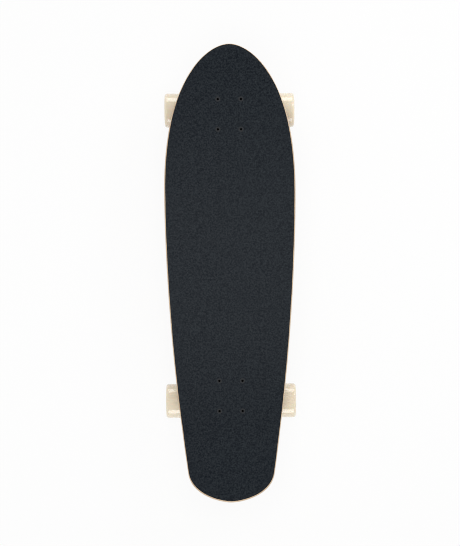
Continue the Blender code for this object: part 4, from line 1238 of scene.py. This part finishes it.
def cast_urethane(name, tones, roughness, depth, gloss=0.0):
    """Cast urethane: softly clouded, a little see-through, with faint mould rings."""
    settings = {"Roughness": roughness, "Subsurface Scale": depth, "Coat Weight": gloss}
    made, tree, inputs, place = surface(name, {**URETHANE_FINISH, **settings})
    clouded(tree, inputs, speckle(tree, place, **URETHANE_CLOUDS), tones)
    roughen(tree, inputs, turning_run(tree, MOULD_RING), **MOULD_RING_BUMP)
    return made


def bushing(height, low_radius):
    """A bushing with its top at zero height, its flank bulging between rounded edges."""
    bore = KINGPIN_SHANK / 2 + FIT
    edge = BUSHING_EDGE
    rows = arc(BUSHING_RADIUS - edge, -edge, edge, 90, 0)
    for step in range(1, BULGE_STEPS):
        share = step / BULGE_STEPS
        radius = BUSHING_RADIUS + (low_radius - BUSHING_RADIUS) * share
        swell = BUSHING_BULGE * math.sin(math.pi * share)
        rows.append((radius + swell, -edge - (height - 2 * edge) * share))
    rows += arc(low_radius - edge, edge - height, edge, 0, -90)
    return turned(rows + [(bore, -height), (bore, 0)], closed=True)


def squeezed(name, mesh, node, reverse):
    """Puts a bushing on both trucks."""
    for truck, place in TRUCKS.items():
        bodies = ["board", f"{truck}_truck_hanger"]
        if reverse:
            bodies.reverse()
        nodes = [f"{truck}_{node}"]
        made = dressed(f"{truck}_{name}", placed(mesh, place), "bushing", nodes, BUSHING_URETHANE)
        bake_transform(made)


BUSHING_URETHANE = cast_urethane("bushing_urethane", BUSHING_TONES, roughness=0.36, depth=0.003)
barrel = placed(bushing(BOARD_BUSHING, BUSHING_RADIUS), down_kingpin(BOARD_BUSHING_S))
squeezed("barrel_bushing", barrel, "board_side_bushing", False)
cone = placed(bushing(ROAD_BUSHING, BUSHING_TIP_RADIUS), down_kingpin(ROAD_BUSHING_S))
squeezed("cone_bushing", cone, "road_side_bushing", True)

# The hangers. Each is one casting: a ring round the bushings, a yoke and a gusset that run from
# it down to the arms, and a nose that turns in the pivot cup. The arms' ends are faced square.

HANGER_WIDTH = 0.1524
ARM_END = 0.0092
ARM_MIDDLE = 0.013
RING_RIM = 0.0025
RING_WALL = 0.0043
RING_HOLE = 0.0075
YOKE_WIDTH = 0.060
GUSSET_WIDTH = 0.116
GUSSET_THICKNESS = 0.014
FLANK_STEPS = 24
ARM_STEPS = 24
AXLE_RADIUS = 0.00395
SEAT_RADIUS = BUSHING_RADIUS + FIT
RING_RADIUS = SEAT_RADIUS + RING_WALL
AXLE_CENTRE = TRUCKS["front"].inverted() @ Vector(JOINTS["front_right_spin"]["pos_m"])
AXLE_CENTRE.x = 0
ALONG_AXLE = Matrix.Translation(AXLE_CENTRE) @ Matrix.Rotation(math.pi / 2, 4, "Y")


def mirrored(right):
    """A whole outline from its right half, which runs upwards."""
    return right + [(-x, y) for x, y in reversed(right)]


def bent_side(low, low_handle, high_handle, high):
    """A curved flank between two points, as pairs."""
    points = interpolate_bezier(low, low_handle, high_handle, high, FLANK_STEPS)
    return [(point.x, point.y) for point in points]


def yoke(reach):
    """A flat web in the ring's middle plane, from the ring out to the nose's root."""
    ring_side = Vector((RING_RADIUS - RING_WALL / 2, 0))
    arm_side = Vector((YOKE_WIDTH / 2, reach))
    forward = ring_side + Vector((0, reach / 2))
    right = bent_side(ring_side, forward, arm_side - Vector((reach / 2, 0)), arm_side)
    right.append((YOKE_WIDTH / 2, reach + GUSSET_THICKNESS / 2))
    half = (RING_WEB + RING_RIM) / 2
    lean = Matrix.Translation(RING_CENTRE) @ Matrix.Rotation(-KINGPIN_TILT, 4, "X")
    return placed(slab(mirrored(right), -half, half), lean)


def gusset(rise):
    """An upright web from the yoke's end down onto the arms, spreading as it goes."""
    low = Vector((GUSSET_WIDTH / 2, ARM_END))
    high = Vector((YOKE_WIDTH / 2, rise.length + RING_WEB / 2))
    run = Vector(((low.x - high.x) / 2, 0))
    drop = Vector((0, (high.y - low.y) / 2))
    right = [(low.x, 0), *bent_side(low, low - run, high - drop, high)]
    lean = Matrix.Translation(AXLE_CENTRE) @ Matrix.Rotation(math.atan2(rise.z, rise.y), 4, "X")
    return placed(slab(mirrored(right), -GUSSET_THICKNESS / 2, GUSSET_THICKNESS / 2), lean)


def arms():
    """The two tapered arms, a little longer than they end up."""
    half = HANGER_WIDTH / 2
    rows = [(0, half + SPARE), (ARM_END, half + SPARE)]
    for step in range(-ARM_STEPS, ARM_STEPS + 1):
        share = step / ARM_STEPS
        swell = (ARM_MIDDLE - ARM_END) * (1 - share ** 2) ** 2
        rows.append((ARM_END + swell, -share * half))
    rows += [(ARM_END, -half - SPARE), (0, -half - SPARE)]
    return placed(turned(rows, sides=64), ALONG_AXLE)


nose_root = ON_PIVOT @ Vector((0, 0, PIVOT_ROOT))
ring_body = rod(RING_RADIUS, RING_RIM - WEB_S, -WEB_S - RING_WEB - RING_RIM)
nose = [(0, PIVOT_ROOT), (PIVOT_ROOT_RADIUS, PIVOT_ROOT), (PIVOT_BALL, PIVOT_BALL)]
nose += dome(PIVOT_BALL)
shapes = [
    arms(),
    placed(ring_body, ON_KINGPIN),
    yoke((nose_root - RING_CENTRE).length),
    gusset(nose_root - AXLE_CENTRE),
    placed(turned(nose), ON_PIVOT),
]
beyond = rod(3 * ARM_END, HANGER_WIDTH, HANGER_WIDTH / 2)
cutters = [
    placed(beyond, ALONG_AXLE),
    placed(beyond, ALONG_AXLE @ UPSIDE_DOWN),
    placed(rod(AXLE_RADIUS + FIT, HANGER_WIDTH, -HANGER_WIDTH), ALONG_AXLE),
    placed(rod(SEAT_RADIUS, DRILL, -WEB_S), ON_KINGPIN),
    placed(rod(SEAT_RADIUS, -WEB_S - RING_WEB, -2 * DRILL), ON_KINGPIN),
    placed(rod(RING_HOLE, DRILL, -2 * DRILL), ON_KINGPIN),
]
hanger = carved(cast(shapes), *cutters)
both_trucks("casting", hanger, "truck_hanger", "cast_aluminium", "hanger", CASTING, CUT_ANGLE)

# The axles. A hardened steel rod is pressed through each hanger, and its ends are rolled with a
# fine thread for the axle nuts.

AXLE_PITCH = 0.00106
AXLE_THREAD = 0.0105
AXLE_TIP = 0.0010
axle_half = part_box("front_axle")[1].x
axle_end = threaded_end(AXLE_RADIUS, AXLE_PITCH, AXLE_THREAD, axle_half, AXLE_TIP, TIP_INSET)
axle = turned(both_ways([(radius, -height) for radius, height in reversed(axle_end)]))
for low in (axle_half - AXLE_THREAD, THREAD_RUNOUT - axle_half):
    axle = threaded(axle, AXLE_RADIUS, AXLE_PITCH, AXLE_THREAD - THREAD_RUNOUT, low, ZINC)
both_trucks("steel_axle", placed(axle, ALONG_AXLE), "truck_hanger", "steel", "axle", ZINC)

# What is clamped on each end of an axle: a speed washer, the inner ring of one bearing, a spacer,
# the other inner ring and a second washer, all held by a locknut with a nylon ring.

AXLE_NUT_WIDTH = 0.0127
STACK_EDGE = 0.00015
SPEED_WASHER = (0.0063, 0.001)
INNER_RING = 0.0059
SPACER = (0.0051, 0.010)
BEARING_WIDTH = 0.007
CORNERS = [f"{end}_{hand}" for end in ENDS for hand in ("left", "right")]


def axle_stack():
    """Washers, inner rings and spacer as one turned stack, its middle at zero height."""
    bore = AXLE_RADIUS + FIT
    ring_start = SPACER[1] / 2
    ring_end = ring_start + BEARING_WIDTH + 2 * FIT
    washer_end = ring_end + SPEED_WASHER[1]
    rows = [
        (bore, washer_end),
        (SPEED_WASHER[0] - STACK_EDGE, washer_end),
        (SPEED_WASHER[0], washer_end - STACK_EDGE),
        (SPEED_WASHER[0], ring_end + STACK_EDGE),
        (SPEED_WASHER[0] - STACK_EDGE, ring_end),
        (INNER_RING - 2 * STACK_EDGE, ring_end),
        (INNER_RING, ring_end - 2 * STACK_EDGE),
        (INNER_RING, ring_start),
        (SPACER[0], ring_start),
    ]
    return turned(both_ways(rows), closed=True)


def outward(corner, x=None):
    """A place on a corner's axle whose Z axis points away from the truck."""
    spot = Vector(JOINTS[corner + "_spin"]["pos_m"])
    side = math.copysign(1, spot.x)
    if x is not None:
        spot.x = side * x
    return Matrix.Translation(spot) @ Matrix.Rotation(side * math.pi / 2, 4, "Y")


stack = axle_stack()
nut_low, nut_high = sorted(abs(end.x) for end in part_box("front_right_axle_nut"))
nut, ring = locknut(AXLE_NUT_WIDTH, nut_high - nut_low, 2 * AXLE_RADIUS)
for corner in CORNERS:
    body = corner.split("_")[0] + "_truck_hanger"
    spot = outward(corner)
    crown_out = outward(corner, nut_low) @ UPSIDE_DOWN
    nodes = [corner + "_axle_nut"]
    show(corner + "_rings_and_spacer", placed(stack, spot), body, "steel", [corner + "_axle_stack"], ZINC)
    show(corner + "_locknut", placed(nut, crown_out), body, "steel", nodes, ZINC)
    show(corner + "_locknut_ring", placed(ring, crown_out), body, None, nodes, NYLON)

# The bearings. Two sealed ones are pressed into each wheel, with their pressed steel shields
# facing out at both sides. Their inner rings stay still on the axle.

BEARING_RADIUS = 0.011
RACE_RADIUS = 0.0092
SHIELD_GAP = 0.0006
SHIELD_SUNK = 0.0004
SHIELD_THICKNESS = 0.0004
SHIELD_STEP = 0.0005
SHIELD_TONES = ((0.36, 0.36, 0.36, 1), (0.50, 0.50, 0.49, 1))
PAIR = {"Spread": SPACER[1] / 2 + FIT + BEARING_WIDTH / 2}


def pair_tree():
    """Sets a piece on both sides of the middle, the second one turned over."""
    tree, given = tree_for("pair", PAIR)
    upper = lifted(tree, given["Geometry"], given["Spread"])
    drop = add(tree, "ShaderNodeCombineXYZ", {2: formula(tree, "MULTIPLY", given["Spread"], -1.0)})
    sockets = {0: given["Geometry"], "Translation": drop, "Rotation": (math.pi, 0, 0)}
    close_tree(tree, given, joined(tree, upper, add(tree, "GeometryNodeTransform", sockets)))
    return tree


face = BEARING_WIDTH / 2
edge = 2 * STACK_EDGE
shield_top = face - SHIELD_SUNK
race_rows = both_ways([(BEARING_RADIUS - edge, face), (BEARING_RADIUS, face - edge)])
race_rows += [(RACE_RADIUS, -face), (RACE_RADIUS, face - STACK_EDGE), (RACE_RADIUS + STACK_EDGE, face)]
shield_bore = INNER_RING + SHIELD_GAP
shield_rows = [
    (RACE_RADIUS - STACK_EDGE, shield_top - SHIELD_THICKNESS),
    (RACE_RADIUS - STACK_EDGE, shield_top - STACK_EDGE),
    (RACE_RADIUS - SHIELD_STEP, shield_top),
    (RACE_RADIUS - SHIELD_STEP - 2 * STACK_EDGE, shield_top - STACK_EDGE),
    (shield_bore + SHIELD_STEP, shield_top - STACK_EDGE),
    (shield_bore, shield_top - 2 * STACK_EDGE),
    (shield_bore, shield_top - SHIELD_THICKNESS),
]
PAIRING = pair_tree()
SHIELD_STEEL = plated("shield_steel", SHIELD_TONES, roughness=0.36)
races = grown("bearing_races", turned(race_rows, closed=True), PAIRING, PAIR, ZINC)
shields = grown("bearing_shields", turned(shield_rows, closed=True), PAIRING, PAIR, SHIELD_STEEL)
for corner in CORNERS:
    nodes = [corner + "_outer_bearing", corner + "_inner_bearing"]
    body = corner + "_wheel_set"
    show(corner + "_bearing_races", placed(races, outward(corner)), body, "steel", nodes)
    show(corner + "_bearing_shields", placed(shields, outward(corner)), body, "steel", nodes)

# The wheels. Each is poured in cream urethane with no separate core, turned true on a lathe and
# left glossy. Its lips are round, and both faces fall in as cones to the bearings' seats.

WHEEL_RADIUS = 0.031
WHEEL_WIDTH = 0.051
SEAT_OFFSET = 0.0021
LIP = 0.0045
FACE_RADIUS = 0.018
FACE_EDGE = 0.0012
WEB_BORE = 0.0084
SEAT_LEAD = 0.001
SEAT_EDGE = 0.0006
HUB_EDGE = 0.0004
HUB_EDGE_RISE = 0.0003
LIP_STEPS = 12
WHEEL_SIDES = 128
WHEEL_TONES = ((0.795, 0.70, 0.54, 1), (0.84, 0.75, 0.585, 1))


def wheel():
    """A wheel about Z, its outer face upwards."""
    outer = SEAT_OFFSET + WHEEL_WIDTH / 2
    inner = SEAT_OFFSET - WHEEL_WIDTH / 2
    shoulder = SPACER[1] / 2
    mouth = shoulder + FIT + BEARING_WIDTH + SEAT_LEAD
    seat = BEARING_RADIUS + FIT
    hub = seat + LIP / 2
    cone = math.degrees(math.atan2(outer - mouth, FACE_RADIUS - hub))
    bore = [
        (WEB_BORE, shoulder),
        (seat, shoulder),
        (seat, mouth - SEAT_EDGE),
        (seat + SEAT_EDGE, mouth),
        (hub - HUB_EDGE, mouth),
        (hub + HUB_EDGE, mouth + HUB_EDGE_RISE),
    ]
    rows = arc(WHEEL_RADIUS - LIP, outer - LIP, LIP, 90, 0, LIP_STEPS)
    rows += arc(WHEEL_RADIUS - LIP, inner + LIP, LIP, 0, -90, LIP_STEPS)
    rows += arc(FACE_RADIUS + FACE_EDGE, inner + FACE_EDGE, FACE_EDGE, -90, -90 - cone)
    rows += [(radius, -height) for radius, height in reversed(bore)] + bore
    rows += arc(FACE_RADIUS + FACE_EDGE, outer - FACE_EDGE, FACE_EDGE, 90 + cone, 90)
    return turned(rows, WHEEL_SIDES, closed=True)


WHEEL_URETHANE = cast_urethane("wheel_urethane", WHEEL_TONES, roughness=0.15, depth=0.004, gloss=0.6)
poured = wheel()
for corner in CORNERS:
    made = placed(poured, outward(corner))
    nodes = [corner + "_wheel"]
    show(corner + "_poured_wheel", made, corner + "_wheel_set", "wheel", nodes, WHEEL_URETHANE)
